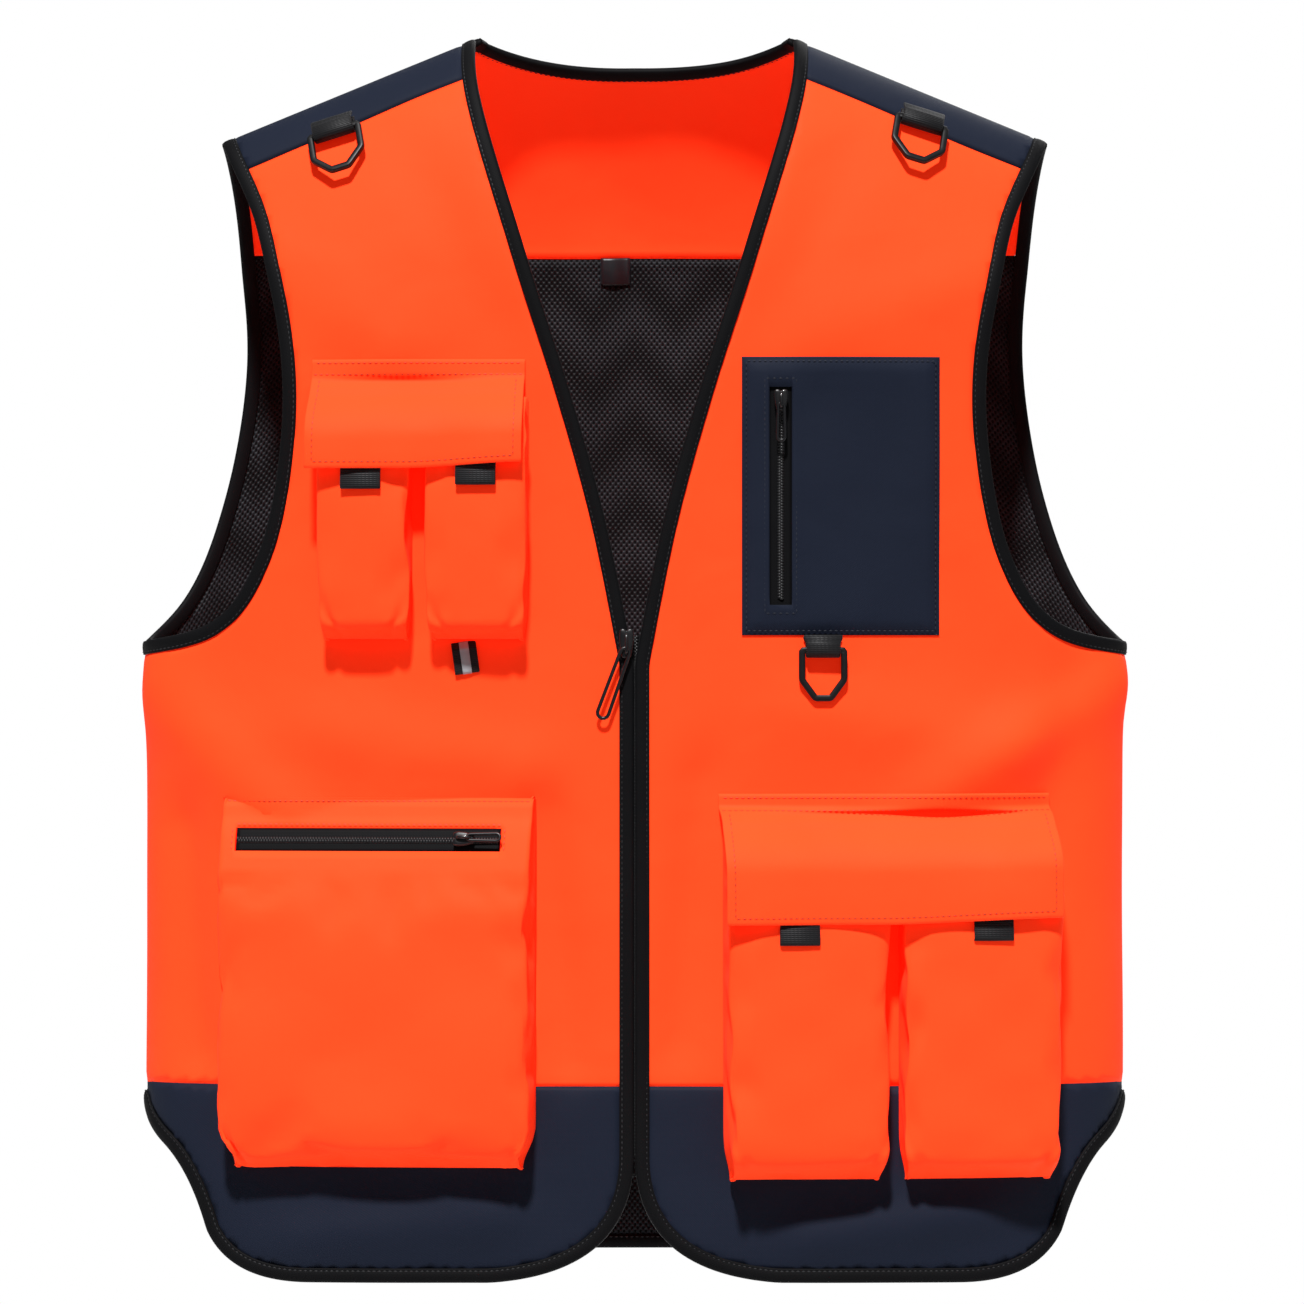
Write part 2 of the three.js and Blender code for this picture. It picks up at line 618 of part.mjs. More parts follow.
function buildSliders() {
  const main = new THREE.Vector3(-4.7, -HALF_DEPTH - BINDING_PROUD - GAP, -367);
  addPiece("main_slider", sliderGeometry(8.6, 18), ENAMEL, main);
  const lean = new THREE.Euler(0, THREE.MathUtils.degToRad(20), 0);
  const hang = main.clone().add(new THREE.Vector3(0, -PULLER_OUT, -3));
  addPiece("main_puller", pullerGeometry(9, 44, 1.7, 1.5), ENAMEL, hang, lean);

  const breast = frontFrame(BREAST.zipX, -222);
  const turn = Math.atan2(breast.side.y, breast.side.x);
  const upright = new THREE.Euler(0, 0, turn);
  const out = breast.normal.clone();
  const onBreast = breast.origin.clone().addScaledVector(out, BREAST.proud + 0.6 + GAP);
  addPiece("breast_slider", sliderGeometry(7.5, 13), ENAMEL, onBreast, upright);
  const breastHang = onBreast.clone().addScaledVector(out, PULLER_OUT).add(new THREE.Vector3(0, 0, -2));
  addPiece("breast_puller", pullerGeometry(6, 22, 1.4, 1.3), ENAMEL, breastHang, upright);

  const plane = pocketPlane(BAG);
  const away = new THREE.Vector3(0, -Math.cos(BAG_LEAN), Math.sin(BAG_LEAN));
  const along = (BAG.top - BAG_ZIP.z) / Math.cos(BAG_LEAN);
  const onBag = new THREE.Vector3(
    plane.along(-BAG_ZIP.xb - BAG_ZIP.sliderFromEnd),
    -(BAG.upper + Math.sin(BAG_LEAN) * along),
    BAG_ZIP.z,
  );
  onBag.addScaledVector(away, 0.8 + GAP).applyMatrix4(plane.matrix);
  const turned = new THREE.Matrix4()
    .makeRotationZ(plane.turn)
    .multiply(new THREE.Matrix4().makeRotationX(-BAG_LEAN))
    .multiply(new THREE.Matrix4().makeRotationY(-Math.PI / 2));
  const sideways = new THREE.Euler().setFromRotationMatrix(turned);
  addPiece("zip_pocket_slider", sliderGeometry(7.5, 13), ENAMEL, onBag, sideways);
  const shift = new THREE.Vector3(0, -PULLER_OUT, -2).applyEuler(sideways);
  const bagHang = onBag.clone().add(shift);
  addPiece("zip_pocket_puller", pullerGeometry(6, 20, 1.4, 1.3), ENAMEL, bagHang, sideways);
}

// ---- rings: a straight bar above and five sides below ----

function ringGeometry(outerWidth) {
  const outline = (inset) => {
    const w = outerWidth / 2 - inset;
    const corner = inset * 0.4 - RING_TALL * 0.6;
    const foot = inset - RING_TALL;
    return [
      point(-w, RING_BAR), point(-w, corner), point(-w * 0.32, foot),
      point(w * 0.32, foot), point(w, corner), point(w, RING_BAR),
    ];
  };
  const outer = outline(0).map((p) => point(p.x, Math.min(p.y, RING_BAR / 2)));
  const inner = outline(RING_BAR).map((p) => point(p.x, Math.min(p.y, -RING_BAR / 2)));
  const shape = new THREE.Shape(outer);
  shape.holes.push(new THREE.Path(inner));
  const geometry = new THREE.ExtrudeGeometry(shape, { depth: RING_BAR, bevelEnabled: false });
  return geometry.rotateX(Math.PI / 2).translate(0, RING_BAR / 2, 0);
}

// The webbing goes round the ring's bar, with both ends lying on the cloth above it
function ringWebbing({ webbing, tail }) {
  const room = RING_BAR / 2 + RING_PLAY;
  const loop = (radius) => {
    const shape = new THREE.Shape();
    shape.moveTo(0, tail);
    shape.lineTo(-radius, radius * 0.6);
    shape.absarc(0, 0, radius, Math.PI, 2 * Math.PI);
    shape.lineTo(radius, tail);
    return shape;
  };
  const shape = loop(room + LOOP_WALL);
  shape.holes.push(new THREE.Path(ringHole(room, tail)));
  const depth = webbing;
  const geometry = new THREE.ExtrudeGeometry(shape, { depth, bevelEnabled: false, curveSegments: 6 });
  const turn = new THREE.Matrix4().makeBasis(
    new THREE.Vector3(0, 1, 0),
    new THREE.Vector3(0, 0, 1),
    new THREE.Vector3(1, 0, 0),
  );
  return geometry.translate(0, 0, -webbing / 2).applyMatrix4(turn);
}

function ringHole(room, tail) {
  const arc = new THREE.EllipseCurve(0, 0, room, room, Math.PI, 2 * Math.PI).getPoints(8);
  const corners = [point(room * 0.75, tail - 4), point(0, tail - 4), point(-room, room * 0.7)];
  return [...arc, ...corners];
}

const RING_LIFT = RING_BAR / 2 + RING_PLAY + LOOP_WALL + LAID_ON + 0.4;

function placeRing(ringName, webbingName, ring, x, z, lean) {
  const frame = frontFrame(x, z);
  const turn = new THREE.Matrix4().makeRotationAxis(frame.normal, lean);
  const across = frame.side.clone().applyMatrix4(turn);
  const up = frame.normal.clone().cross(across);
  const basis = new THREE.Matrix4().makeBasis(across, frame.normal.clone().negate(), up);
  const rotation = new THREE.Euler().setFromRotationMatrix(basis);
  const position = frame.origin.clone().addScaledVector(frame.normal, RING_LIFT);
  addPiece(webbingName, ringWebbing(ring), BLACK, position, rotation);
  addPiece(ringName, ringGeometry(ring.outer), PLASTIC, position, rotation);
}

function buildRings() {
  const lean = THREE.MathUtils.degToRad(20);
  placeRing("right_shoulder_ring", "right_ring_webbing", SHOULDER_RING, -179, -62, lean);
  placeRing("left_shoulder_ring", "left_ring_webbing", SHOULDER_RING, 171, -57, -lean);
  placeRing("chest_ring", "chest_ring_webbing", CHEST_RING, 112, -371, 0);
}

// A folded tab of reflective webbing below the inner chest pouch
function reflectiveLoop() {
  const frame = frontFrame(-100.5, -376);
  const geometry = box([-7.5, -1.2, -9], [7.5, 1.2, 9]);
  const lean = THREE.MathUtils.degToRad(-8);
  const rotation = new THREE.Euler(0, lean, Math.atan2(frame.side.y, frame.side.x));
  const position = frame.origin.clone().addScaledVector(frame.normal, LAID_ON + 1.4);
  addPiece("reflective_loop", geometry, SILVER, position, rotation);
}

buildBack();
buildNeckBinding();
for (const half of [RIGHT, LEFT]) {
  buildShoulder(half);
  buildFront(half);
}
buildZipEnds();
buildFlapPocket("chest", CHEST);
buildFlapPocket("cargo", CARGO);
buildBag();
buildBreastPocket();
buildSliders();
buildRings();
reflectiveLoop();

export default group;
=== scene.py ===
"""A blaze orange utility vest, hung upright and hollow: cloth, bindings, pockets, zips and rings."""

import math

import bmesh
import bpy
import numpy as np
from mathutils import Matrix, Vector, geometry


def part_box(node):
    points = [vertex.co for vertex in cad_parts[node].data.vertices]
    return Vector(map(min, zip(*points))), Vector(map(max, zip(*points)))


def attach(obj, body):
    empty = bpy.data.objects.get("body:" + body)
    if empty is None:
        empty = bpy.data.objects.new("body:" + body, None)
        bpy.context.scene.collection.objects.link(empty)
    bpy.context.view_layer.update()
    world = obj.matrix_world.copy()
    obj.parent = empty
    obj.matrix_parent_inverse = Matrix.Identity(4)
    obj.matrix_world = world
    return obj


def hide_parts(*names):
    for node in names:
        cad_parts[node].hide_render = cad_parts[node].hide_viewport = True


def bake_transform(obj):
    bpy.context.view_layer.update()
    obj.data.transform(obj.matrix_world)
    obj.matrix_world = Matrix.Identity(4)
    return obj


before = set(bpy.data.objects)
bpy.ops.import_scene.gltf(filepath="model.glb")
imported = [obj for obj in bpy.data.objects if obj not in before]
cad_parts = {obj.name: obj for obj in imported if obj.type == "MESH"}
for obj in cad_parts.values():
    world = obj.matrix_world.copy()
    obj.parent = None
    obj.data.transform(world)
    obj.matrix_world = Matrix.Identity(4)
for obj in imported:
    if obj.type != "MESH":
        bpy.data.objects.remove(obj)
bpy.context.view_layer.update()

bl_info = {
    "name": "Utility Vest",
    "version": (1, 0, 0),
    "blender": (4, 5, 0),
    "location": "3D View > Sidebar > Vest",
    "description": "Builds a hung utility vest with its pockets, zips and rings",
    "category": "Object",
}

# ---- the body the vest hangs round, in millimetres: front is -Y, up is +Z, the wearer's left is +X

HALF_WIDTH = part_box("left_hem_panel")[1][0] * 1000
HALF_DEPTH = 85.0
SQUARENESS = 2.5
SHOULDER_FALL = 180.0
SHOULDER_SLOPE = 0.41
NECK_HALF = 93.0
STRAP_INNER = 104.0
STRAP_FRONT = 23.0
STRAP_BACK = 34.0
YOKE_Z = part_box("back_yoke")[0][2] * 1000
HEM_PANEL_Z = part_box("right_front_panel")[0][2] * 1000
BINDING = 8.6
SEAM = BINDING - 2.4  # the cloth runs on inside its binding
FRONT, BACK = 1, -1
UV = "Thread"


def girth():
    """The quarter girth from the middle to the side seam: run, x and depth, finely stepped."""
    turn = np.linspace(0, math.pi / 2, 20001)
    x = HALF_WIDTH * np.sin(turn) ** (2 / SQUARENESS)
    y = HALF_DEPTH * np.cos(turn) ** (2 / SQUARENESS)
    run = np.concatenate([[0], np.cumsum(np.hypot(np.diff(x), np.diff(y)))])
    return run, x, y


RUN, RUN_X, RUN_DEPTH = girth()
QUARTER = RUN[-1]
ROUND = SHOULDER_FALL * math.pi / 2


def shoulder(x):
    return -SHOULDER_SLOPE * np.maximum(0, np.abs(x) - NECK_HALF)


def fall(line):
    """How far each point (x, z) lies below the shoulder ridge."""
    return shoulder(line[:, 0]) - line[:, 1]


def to_cloth(line, face=FRONT):
    """Points (x, z) as (run, down): along the girth, and down the cloth from the shoulder ridge."""
    x = np.clip(line[:, 0], -HALF_WIDTH, HALF_WIDTH)
    drop = np.maximum(0, shoulder(x) - line[:, 1])
    rounded = SHOULDER_FALL * np.arccos(1 - np.minimum(drop, SHOULDER_FALL) / SHOULDER_FALL)
    down = rounded + np.maximum(0, drop - SHOULDER_FALL)
    return np.stack([np.sign(x) * np.interp(np.abs(x), RUN_X, RUN), face * down], 1)


def bare(cloth):
    """Points of the body for (run, down)."""
    run, down = np.clip(cloth[:, 0], -QUARTER, QUARTER), cloth[:, 1]
    x = np.sign(run) * np.interp(np.abs(run), RUN, RUN_X)
    depth = np.interp(np.abs(run), RUN, RUN_DEPTH)
    angle = np.clip(np.abs(down) / SHOULDER_FALL, 0, math.pi / 2)
    y = -np.sign(down) * depth * np.sin(angle)
    z = shoulder(x) - SHOULDER_FALL * (1 - np.cos(angle)) - np.maximum(0, np.abs(down) - ROUND)
    return np.stack([x, y, z], 1)


# Soft folds in the hung cloth: from (x, z) to (x, z), half width, height
FRONT_FOLDS = (
    ((288, -392), (188, -452), 20, 4.5),
    ((262, -398), (232, -560), 17, -3.0),
    ((40, -452), (26, -600), 16, -2.6),
    ((120, -410), (215, -425), 24, 2.5),
    ((205, -150), (120, -180), 26, 2.4),
    ((-286, -400), (-210, -470), 22, 3.8),
    ((-272, -480), (-262, -610), 13, -3.4),
    ((-190, -420), (-70, -440), 22, 2.6),
    ((-52, -470), (-40, -610), 15, -2.6),
    ((-206, -140), (-150, -186), 24, 2.4),
    ((-120, -95), (-84, -170), 20, -1.6),
    ((118, -95), (84, -170), 20, -1.6),
    ((-200, -722), (-90, -712), 16, 2.2),
    ((110, -722), (200, -708), 15, 2.4),
)
BACK_FOLDS = (
    ((-215, -150), (-120, -330), 26, 4.0),
    ((220, -140), (140, -310), 26, 3.6),
    ((-40, -200), (-60, -520), 34, -3.6),
    ((60, -260), (90, -600), 38, -3.6),
    ((0, -60), (10, -118), 40, 2.0),
    ((-180, -420), (-210, -700), 30, 3.4),
    ((190, -440), (170, -700), 30, 3.2),
)


def fold_height(x, z, face):
    """How far the folds lift the cloth from the body at each x and z."""
    lift = np.zeros(len(x))
    for (x0, z0), (x1, z1), width, height in FRONT_FOLDS if face == FRONT else BACK_FOLDS:
        way = np.array([x1 - x0, z1 - z0], float)
        size = np.hypot(*way)
        way /= size
        along = ((x - x0) * way[0] + (z - z0) * way[1]) / size
        aside = (x - x0) * -way[1] + (z - z0) * way[0]
        beyond = np.maximum(0, np.abs(along - 0.5) - 0.5) * size
        lift += height * np.exp(-((aside / width) ** 2) - (beyond / (1.6 * width)) ** 2)
    ripple = np.sin(x * 0.031 + 1.7) * np.sin(z * 0.023 + 0.4) + 0.5 * np.sin(x * 0.071 + z * 0.043)
    return 1.6 * lift + 0.7 * ripple


def on_body(cloth, out=0.0):
    """Points on the folded cloth for (run, down), out beyond its face, and the outward normals."""
    step = 0.4
    low, high = cloth - [step, 0], cloth + [step, 0]
    across = bare(high) - bare(low)
    along = bare(cloth + [0, step]) - bare(cloth - [0, step])
    normal = unit(np.cross(along, across))
    points = bare(cloth)
    face = np.where(cloth[:, 1] >= 0, FRONT, BACK)
    deep = np.minimum(1, np.abs(cloth[:, 1]) / 90)
    edge = np.minimum(1, (QUARTER - np.abs(cloth[:, 0])) / 25)
    lift = np.where(
        face == FRONT,
        fold_height(points[:, 0], points[:, 2], FRONT),
        fold_height(points[:, 0], points[:, 2], BACK),
    )
    return points + normal * (out + lift * deep * edge)[:, None], normal


# ---- outlines on the +X side, as points (x, z)


def bend(start, through, end, count=24):
    t = np.linspace(0, 1, count)[:, None]
    a, b, c = (np.array(p, float) for p in (start, through, end))
    return (1 - t) ** 2 * a + 2 * t * (1 - t) * b + t**2 * c


def smooth(*points, count=14):
    """A Catmull-Rom line through the points."""
    p = np.array([points[0], *points, points[-1]], float)
    line = []
    for a, b, c, d in zip(p, p[1:], p[2:], p[3:], strict=False):
        t = np.linspace(0, 1, count, endpoint=False)[:, None]
        line.append(
            0.5 * (2 * b + (c - a) * t + (2 * a - 5 * b + 4 * c - d) * t**2 + (3 * b - a - 3 * c + d) * t**3)
        )
    return np.concatenate([*line, p[-1:]])


def run_along(line):
    """How far along the line each of its points is."""
    return np.concatenate([[0], np.cumsum(np.linalg.norm(np.diff(line, axis=0), axis=1))])


def unit(vectors):
    return vectors / np.maximum(np.linalg.norm(vectors, axis=-1, keepdims=True), 1e-9)


def spaced(line, step, closed=False):
    """The line at even steps."""
    line = np.asarray(line, float)
    if closed:
        line = np.concatenate([line, line[:1]])
    size = np.linalg.norm(np.diff(line, axis=0), axis=1)
    line = line[np.concatenate([[True], size > 1e-6])]
    run = run_along(line)
    count = max(2, round(run[-1] / step) + 1)
    at = np.linspace(0, run[-1], count)
    made = np.stack([np.interp(at, run, line[:, i]) for i in range(line.shape[1])], 1)
    return made[:-1] if closed else made


def outline(*parts):
    """The parts of an edge, end to end, at steps of a millimetre."""
    return spaced(np.concatenate(parts), 1.0)


def moved(line, distance):
    """The line moved sideways, to its left hand as it runs."""
    way = unit(np.gradient(line, axis=0))
    return line + np.stack([-way[:, 1], way[:, 0]], 1) * distance


HEM_CORNER = (bend((283, -668), (296, -656), (299, -641))[1:], [[315, -630]])
FRONT_EDGE = outline(
    smooth((93, 25), (94.5, -30), (66, -130), (39, -215), (17.5, -293), (0.4, -378)),
    bend((0.4, -676), (3, -742), (86, -748)),
    bend((195, -748.5), (243, -748.5), (257, -718)),
    bend((257, -718), (267, -684), (283, -668))[1:],
    *HEM_CORNER,
)
BACK_EDGE = outline(
    [[-1, -739]],
    bend((190, -739), (240, -739), (252, -712)),
    bend((252, -712), (265, -684), (283, -668))[1:],
    *HEM_CORNER,
)
FRONT_ARMHOLE = outline(
    smooth((264, -30), (247, -70), (226, -120), (212, -190), (212, -250), (226, -315), (256, -355), (320, -369))
)
BACK_ARMHOLE = outline(
    smooth((264, -30), (250, -66), (240, -135), (238, -200), (251, -277), (276, -340), (320, -386))
)
BACK_NECK = outline(bend((103, 6), (62, -17), (0, -16)))


def row(x0, x1, z, face=FRONT):
    """A level line of the cloth."""
    x = np.linspace(x0, x1, 60)
    return to_cloth(np.stack([x, np.full(60, float(z))], 1), face)


def strap_row(x0, x1, drop, face=FRONT):
    """A line of the cloth at one fall below the shoulder ridge."""
    x = np.linspace(x0, x1, 40)
    return to_cloth(np.stack([x, shoulder(x) - drop], 1), face)


def flipped(cloth, side):
    return cloth * [side, 1]


# ---- meshes


def inside(points, ring):
    """Which points lie inside the closed ring."""
    found = np.zeros(len(points), bool)
    x, y = points[:, 0], points[:, 1]
    for (x0, y0), (x1, y1) in zip(ring, np.roll(ring, -1, 0), strict=True):
        cut = (y0 > y) != (y1 > y)
        found ^= cut & (x < (x1 - x0) * (y - y0) / (y1 - y0 + 1e-12) + x0)
    return found


def cut_cloth(edge, pitch):
    """Flat points and triangles that fill a closed edge, and the points of that edge."""
    ring = spaced(edge, pitch, closed=True)
    low, high = ring.min(0), ring.max(0)
    xs = np.arange(low[0], high[0], pitch)
    ys = np.arange(low[1], high[1], pitch)
    grid = np.stack(np.meshgrid(xs, ys), -1).reshape(-1, 2)
    grid = grid[inside(grid, ring)]
    near = np.full(len(grid), np.inf)
    for p in ring:
        near = np.minimum(near, np.abs(grid - p).max(1))
    grid = grid[near > 0.55 * pitch]
    flat = np.concatenate([ring, grid])
    edges = [(i, (i + 1) % len(ring)) for i in range(len(ring))]
    made = geometry.delaunay_2d_cdt([Vector(p) for p in flat], edges, [], 1, 1e-5)
    return np.array([tuple(p) for p in made[0]]), [tuple(f) for f in made[2]], ring


def new_piece(name, points, faces, finish, thread=None):
    """A mesh piece from points in millimetres, with its thread directions as a UV map in metres."""
    mesh = bpy.data.meshes.new(name)
    mesh.from_pydata((np.asarray(points) * 0.001).tolist(), [], [list(map(int, f)) for f in faces])
    mesh.update()
    if thread is not None:
        layer = mesh.uv_layers.new(name=UV)
        corner = np.zeros(len(mesh.loops), np.int32)
        mesh.loops.foreach_get("vertex_index", corner)
        layer.uv.foreach_set("vector", (np.asarray(thread)[corner] * 0.001).astype(np.float32).ravel())
    mesh.polygons.foreach_set("use_smooth", [True] * len(mesh.polygons))
    piece = bpy.data.objects.new(name, mesh)
    bpy.context.scene.collection.objects.link(piece)
    mesh.materials.append(finish)
    return piece


def closed_piece(name, parts, finish):
    """A piece from (points, faces) or (points, faces, thread), with every face turned outward."""
    piece = new_piece(name, parts[0], parts[1], finish, parts[2] if len(parts) > 2 else None)
    work = bmesh.new()
    work.from_mesh(piece.data)
    bmesh.ops.recalc_face_normals(work, faces=work.faces)
    work.to_mesh(piece.data)
    work.free()
    return piece


def fit(piece, body, slot, *nodes):
    """Hands a piece to its body, in place of the CAD nodes; slot is not used."""
    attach(piece, body)
    if nodes:
        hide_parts(*nodes)


def thicken(piece, thickness, offset=-1.0):
    wall = piece.modifiers.new("Cloth thickness", "SOLIDIFY")
    wall.thickness = thickness * 0.001
    wall.offset = offset


def make_finer(piece):
    finer = piece.modifiers.new("Finer cloth", "SUBSURF")
    finer.levels = finer.render_levels = 1


def round_edges(piece, width):
    worn = piece.modifiers.new("Rounded edges", "BEVEL")
    worn.width = width * 0.001
    worn.segments = 2
    worn.limit_method = "ANGLE"
    worn.angle_limit = math.radians(40)


def grid_faces(rows, columns, closed_columns=False, skip=lambda row, column: False):
    """Quads between the rows and columns of a grid. skip(row, column) leaves one out."""
    last = columns if closed_columns else columns - 1

    def quad(r, c):
        beside = (c + 1) % columns
        return (r * columns + c, r * columns + beside, (r + 1) * columns + beside, (r + 1) * columns + c)

    return [quad(r, c) for r in range(rows - 1) for c in range(last) if not skip(r, c)]


def swept(path, normals, section, closed=False):
    """A section carried along a path: points, faces and thread places. The section is (aside, out)."""
    path, section = np.asarray(path, float), np.asarray(section, float)
    tangent = unit(np.roll(path, -1, 0) - np.roll(path, 1, 0) if closed else np.gradient(path, axis=0))
    aside = unit(np.cross(tangent, normals))
    up = np.cross(aside, tangent)
    points = path[:, None] + aside[:, None] * section[None, :, :1] + up[:, None] * section[None, :, 1:]
    rows, columns = len(path), len(section)
    faces = grid_faces(rows, columns, closed_columns=True)
    end = (rows - 1) * columns
    if closed:
        faces += [(end + c, end + (c + 1) % columns, (c + 1) % columns, c) for c in range(columns)]
    else:
        faces += [tuple(range(columns))[::-1], tuple(end + c for c in range(columns))]
    thread = np.stack([np.tile(section[:, 0], rows), np.repeat(run_along(path), columns)], 1)
    return points.reshape(-1, 3), faces, thread


def joined(*parts):
    """Several (points, faces, thread) as one."""
    points, faces, thread, start = [], [], [], 0
    for p, f, t in parts:
        points.append(p)
        thread.append(t)
        faces += [tuple(i + start for i in face) for face in f]
        start += len(p)
    return np.concatenate(points), faces, np.concatenate(thread)


# ---- stitching: each stitch is a small lozenge of thread lying on the cloth

STITCH_SIDES = ((-1, 0, 0.15), (0, -1, 0.3), (0, 0, 1), (0, 1, 0.3), (1, 0, 0.15))
STITCH_FACES = ((0, 1, 2), (0, 2, 3), (4, 2, 1), (4, 3, 2))


def stitches(path, normals, step=3.5, width=0.45, tall=0.4):
    """A row of stitches along a path on the cloth."""
    length = trim().stitch * 1000
    size = np.linalg.norm(np.diff(path, axis=0), axis=1).sum()
    count = max(1, int(size / step))
    both = spaced(np.concatenate([path, normals * 1e-3], 1), size / (8 * count))
    points, faces = [], []
    for i in range(count):
        at = min(len(both) - 2, i * 8 + 4)
        centre, normal = both[at, :3], both[at, 3:] * 1e3
        way = both[at + 1, :3] - both[at - 1, :3]
        way = way / np.linalg.norm(way)
        aside = np.cross(normal, way)
        start = len(points)
        for along, side, out in STITCH_SIDES:
            points.append(centre + way * along * length / 2 + aside * side * width + normal * (out * tall - 0.05))
        faces += [tuple(start + j for j in face) for face in STITCH_FACES]
    points = np.array(points)
    return points, faces, points[:, :2]


# ---- finishes


def fabric():
    return bpy.context.scene.vest_cloth


def trim():
    return bpy.context.scene.vest_trim


def add_node(tree, kind, inputs=None, **choices):
    """A node with its choices set, and its inputs set or linked."""
    made = tree.nodes.new(kind)
    for key, value in choices.items():
        setattr(made, key, value)
    for key, value in (inputs or {}).items():
        if isinstance(value, bpy.types.NodeSocket):
            tree.links.new(value, made.inputs[key])
        else:
            made.inputs[key].default_value = value
    return made


def maths(tree, operation, *values):
    return add_node(tree, "ShaderNodeMath", dict(enumerate(values)), operation=operation).outputs[0]


def node_group(name, place, scale, default, outputs, fill):
    """A shader node group, built once: a place and a scale go in, and fill puts in the nodes between."""
    if name in bpy.data.node_groups:
        return bpy.data.node_groups[name]
    group = bpy.data.node_groups.new(name, "ShaderNodeTree")
    group.interface.new_socket(name=place, in_out="INPUT", socket_type="NodeSocketVector")
    size = group.interface.new_socket(name=scale, in_out="INPUT", socket_type="NodeSocketFloat")
    size.default_value = default
    for label in outputs:
        group.interface.new_socket(name=label, in_out="OUTPUT", socket_type="NodeSocketFloat")
    start, end = add_node(group, "NodeGroupInput"), add_node(group, "NodeGroupOutput")
    for label, made in zip(outputs, fill(group, start.outputs[0], start.outputs[1]), strict=True):
        group.links.new(made, end.inputs[label])
    return group


def woven_cloth(group, thread, pitch):
    """A plain weave from thread places: the threads' height, and the gaps between them."""
    slub = add_node(group, "ShaderNodeTexNoise", {"Vector": thread, "Scale": 260.0, "Detail": 2.0})
    apart = add_node(group, "ShaderNodeSeparateXYZ", {0: thread})
    half_turns = maths(group, "MULTIPLY", pitch, math.pi)
    waves = []
    for axis in ("X", "Y"):
        turn = maths(group, "MULTIPLY_ADD", apart.outputs[axis], half_turns, slub.outputs["Fac"])
        waves.append(maths(group, "SINE", turn))
    over = maths(group, "MULTIPLY", waves[0], waves[1])
    warp, weft = (maths(group, "ABSOLUTE", wave) for wave in waves)
    threads = maths(group, "ADD", warp, weft)
    height = maths(group, "MULTIPLY_ADD", threads, 0.4, maths(group, "MULTIPLY", over, 0.3))
    return height, maths(group, "SUBTRACT", 1.0, maths(group, "MINIMUM", threads, 1.0))


def soft_crumple(group, place, size):
    """Broad soft unevenness of handled cloth: its height, and a tone that goes with it."""
    broad = {"Vector": place, "Scale": size, "Detail": 1.5, "Distortion": 0.6}
    broad = add_node(group, "ShaderNodeTexNoise", broad).outputs["Fac"]
    finer = add_node(group, "ShaderNodeTexNoise", {"Vector": place, "Scale": maths(group, "MULTIPLY", size, 4.0)})
    return maths(group, "MULTIPLY_ADD", finer.outputs["Fac"], 0.18, broad), broad


def knitted_mesh(group, thread, pitch):
    """A warp-knitted mesh: round holes in staggered rows, with the knit's slant changing in bands that the mesh's
    finish uses for painted sheen.
    """
    apart = add_node(group, "ShaderNodeSeparateXYZ", {0: thread})
    turns = maths(group, "MULTIPLY", pitch, 2 * math.pi)
    x = maths(group, "MULTIPLY", apart.outputs["X"], turns)
    y = maths(group, "MULTIPLY", apart.outputs["Y"], maths(group, "MULTIPLY", turns, 0.81))
    lattice = maths(group, "MULTIPLY", maths(group, "COSINE", x), maths(group, "COSINE", y))
    holes = add_node(
        group,
        "ShaderNodeMapRange",
        {"Value": lattice, "From Min": 0.0, "From Max": 0.5},
        interpolation_type="SMOOTHSTEP",
    )
    zigzag = maths(group, "PINGPONG", maths(group, "MULTIPLY", x, 0.021), 1.0)
    slant = maths(group, "SINE", maths(group, "MULTIPLY_ADD", zigzag, 3.2, maths(group, "MULTIPLY", y, 0.09)))
    height = maths(group, "MULTIPLY", lattice, -1.0)
    return height, holes.outputs[0], maths(group, "MULTIPLY_ADD", slant, 0.5, 0.5)


def ribbed_webbing(group, thread, ribs):
    """Narrow woven webbing: ribs across it, in a broken twill."""
    apart = add_node(group, "ShaderNodeSeparateXYZ", {0: thread})
    x = maths(group, "MULTIPLY", maths(group, "MULTIPLY", apart.outputs["X"], ribs), math.pi)
    y = maths(group, "MULTIPLY", maths(group, "MULTIPLY", apart.outputs["Y"], ribs), math.pi)
    rib = maths(group, "ABSOLUTE", maths(group, "SINE", y))
    twill = maths(group, "ABSOLUTE", maths(group, "SINE", maths(group, "MULTIPLY_ADD", x, 0.5, y)))
    return maths(group, "MULTIPLY_ADD", twill, 0.45, rib), maths(group, "SUBTRACT", 1.0, rib)


GROUPS = {
    "Woven cloth": ("Thread", "Threads per metre", 1200.0, ("Height", "Gaps"), woven_cloth),
    "Soft crumple": ("Place", "Size", 22.0, ("Height", "Tone"), soft_crumple),
    "Knitted mesh": ("Thread", "Holes per metre", 350.0, ("Height", "Holes", "Sheen bands"), knitted_mesh),
    "Ribbed webbing": ("Thread", "Ribs per metre", 900.0, ("Height", "Gaps"), ribbed_webbing),
}


def placed(tree, name, place, scale):
    """The named group in a material, at its own scale."""
    group = node_group(name, *GROUPS[name])
    return add_node(tree, "ShaderNodeGroup", {0: place, 1: scale}, node_tree=group).outputs


def blended(tree, share, one, other):
    """A colour from one to the other by the share."""
    return add_node(tree, "ShaderNodeMix", {0: share, 6: one, 7: other}, data_type="RGBA").outputs[2]


def ranged(tree, value, low, high):
    return add_node(tree, "ShaderNodeMapRange", {"Value": value, "To Min": low, "To Max": high}).outputs[0]


def shaded(colour, factor):
    return (*(c * factor for c in colour[:3]), 1.0)


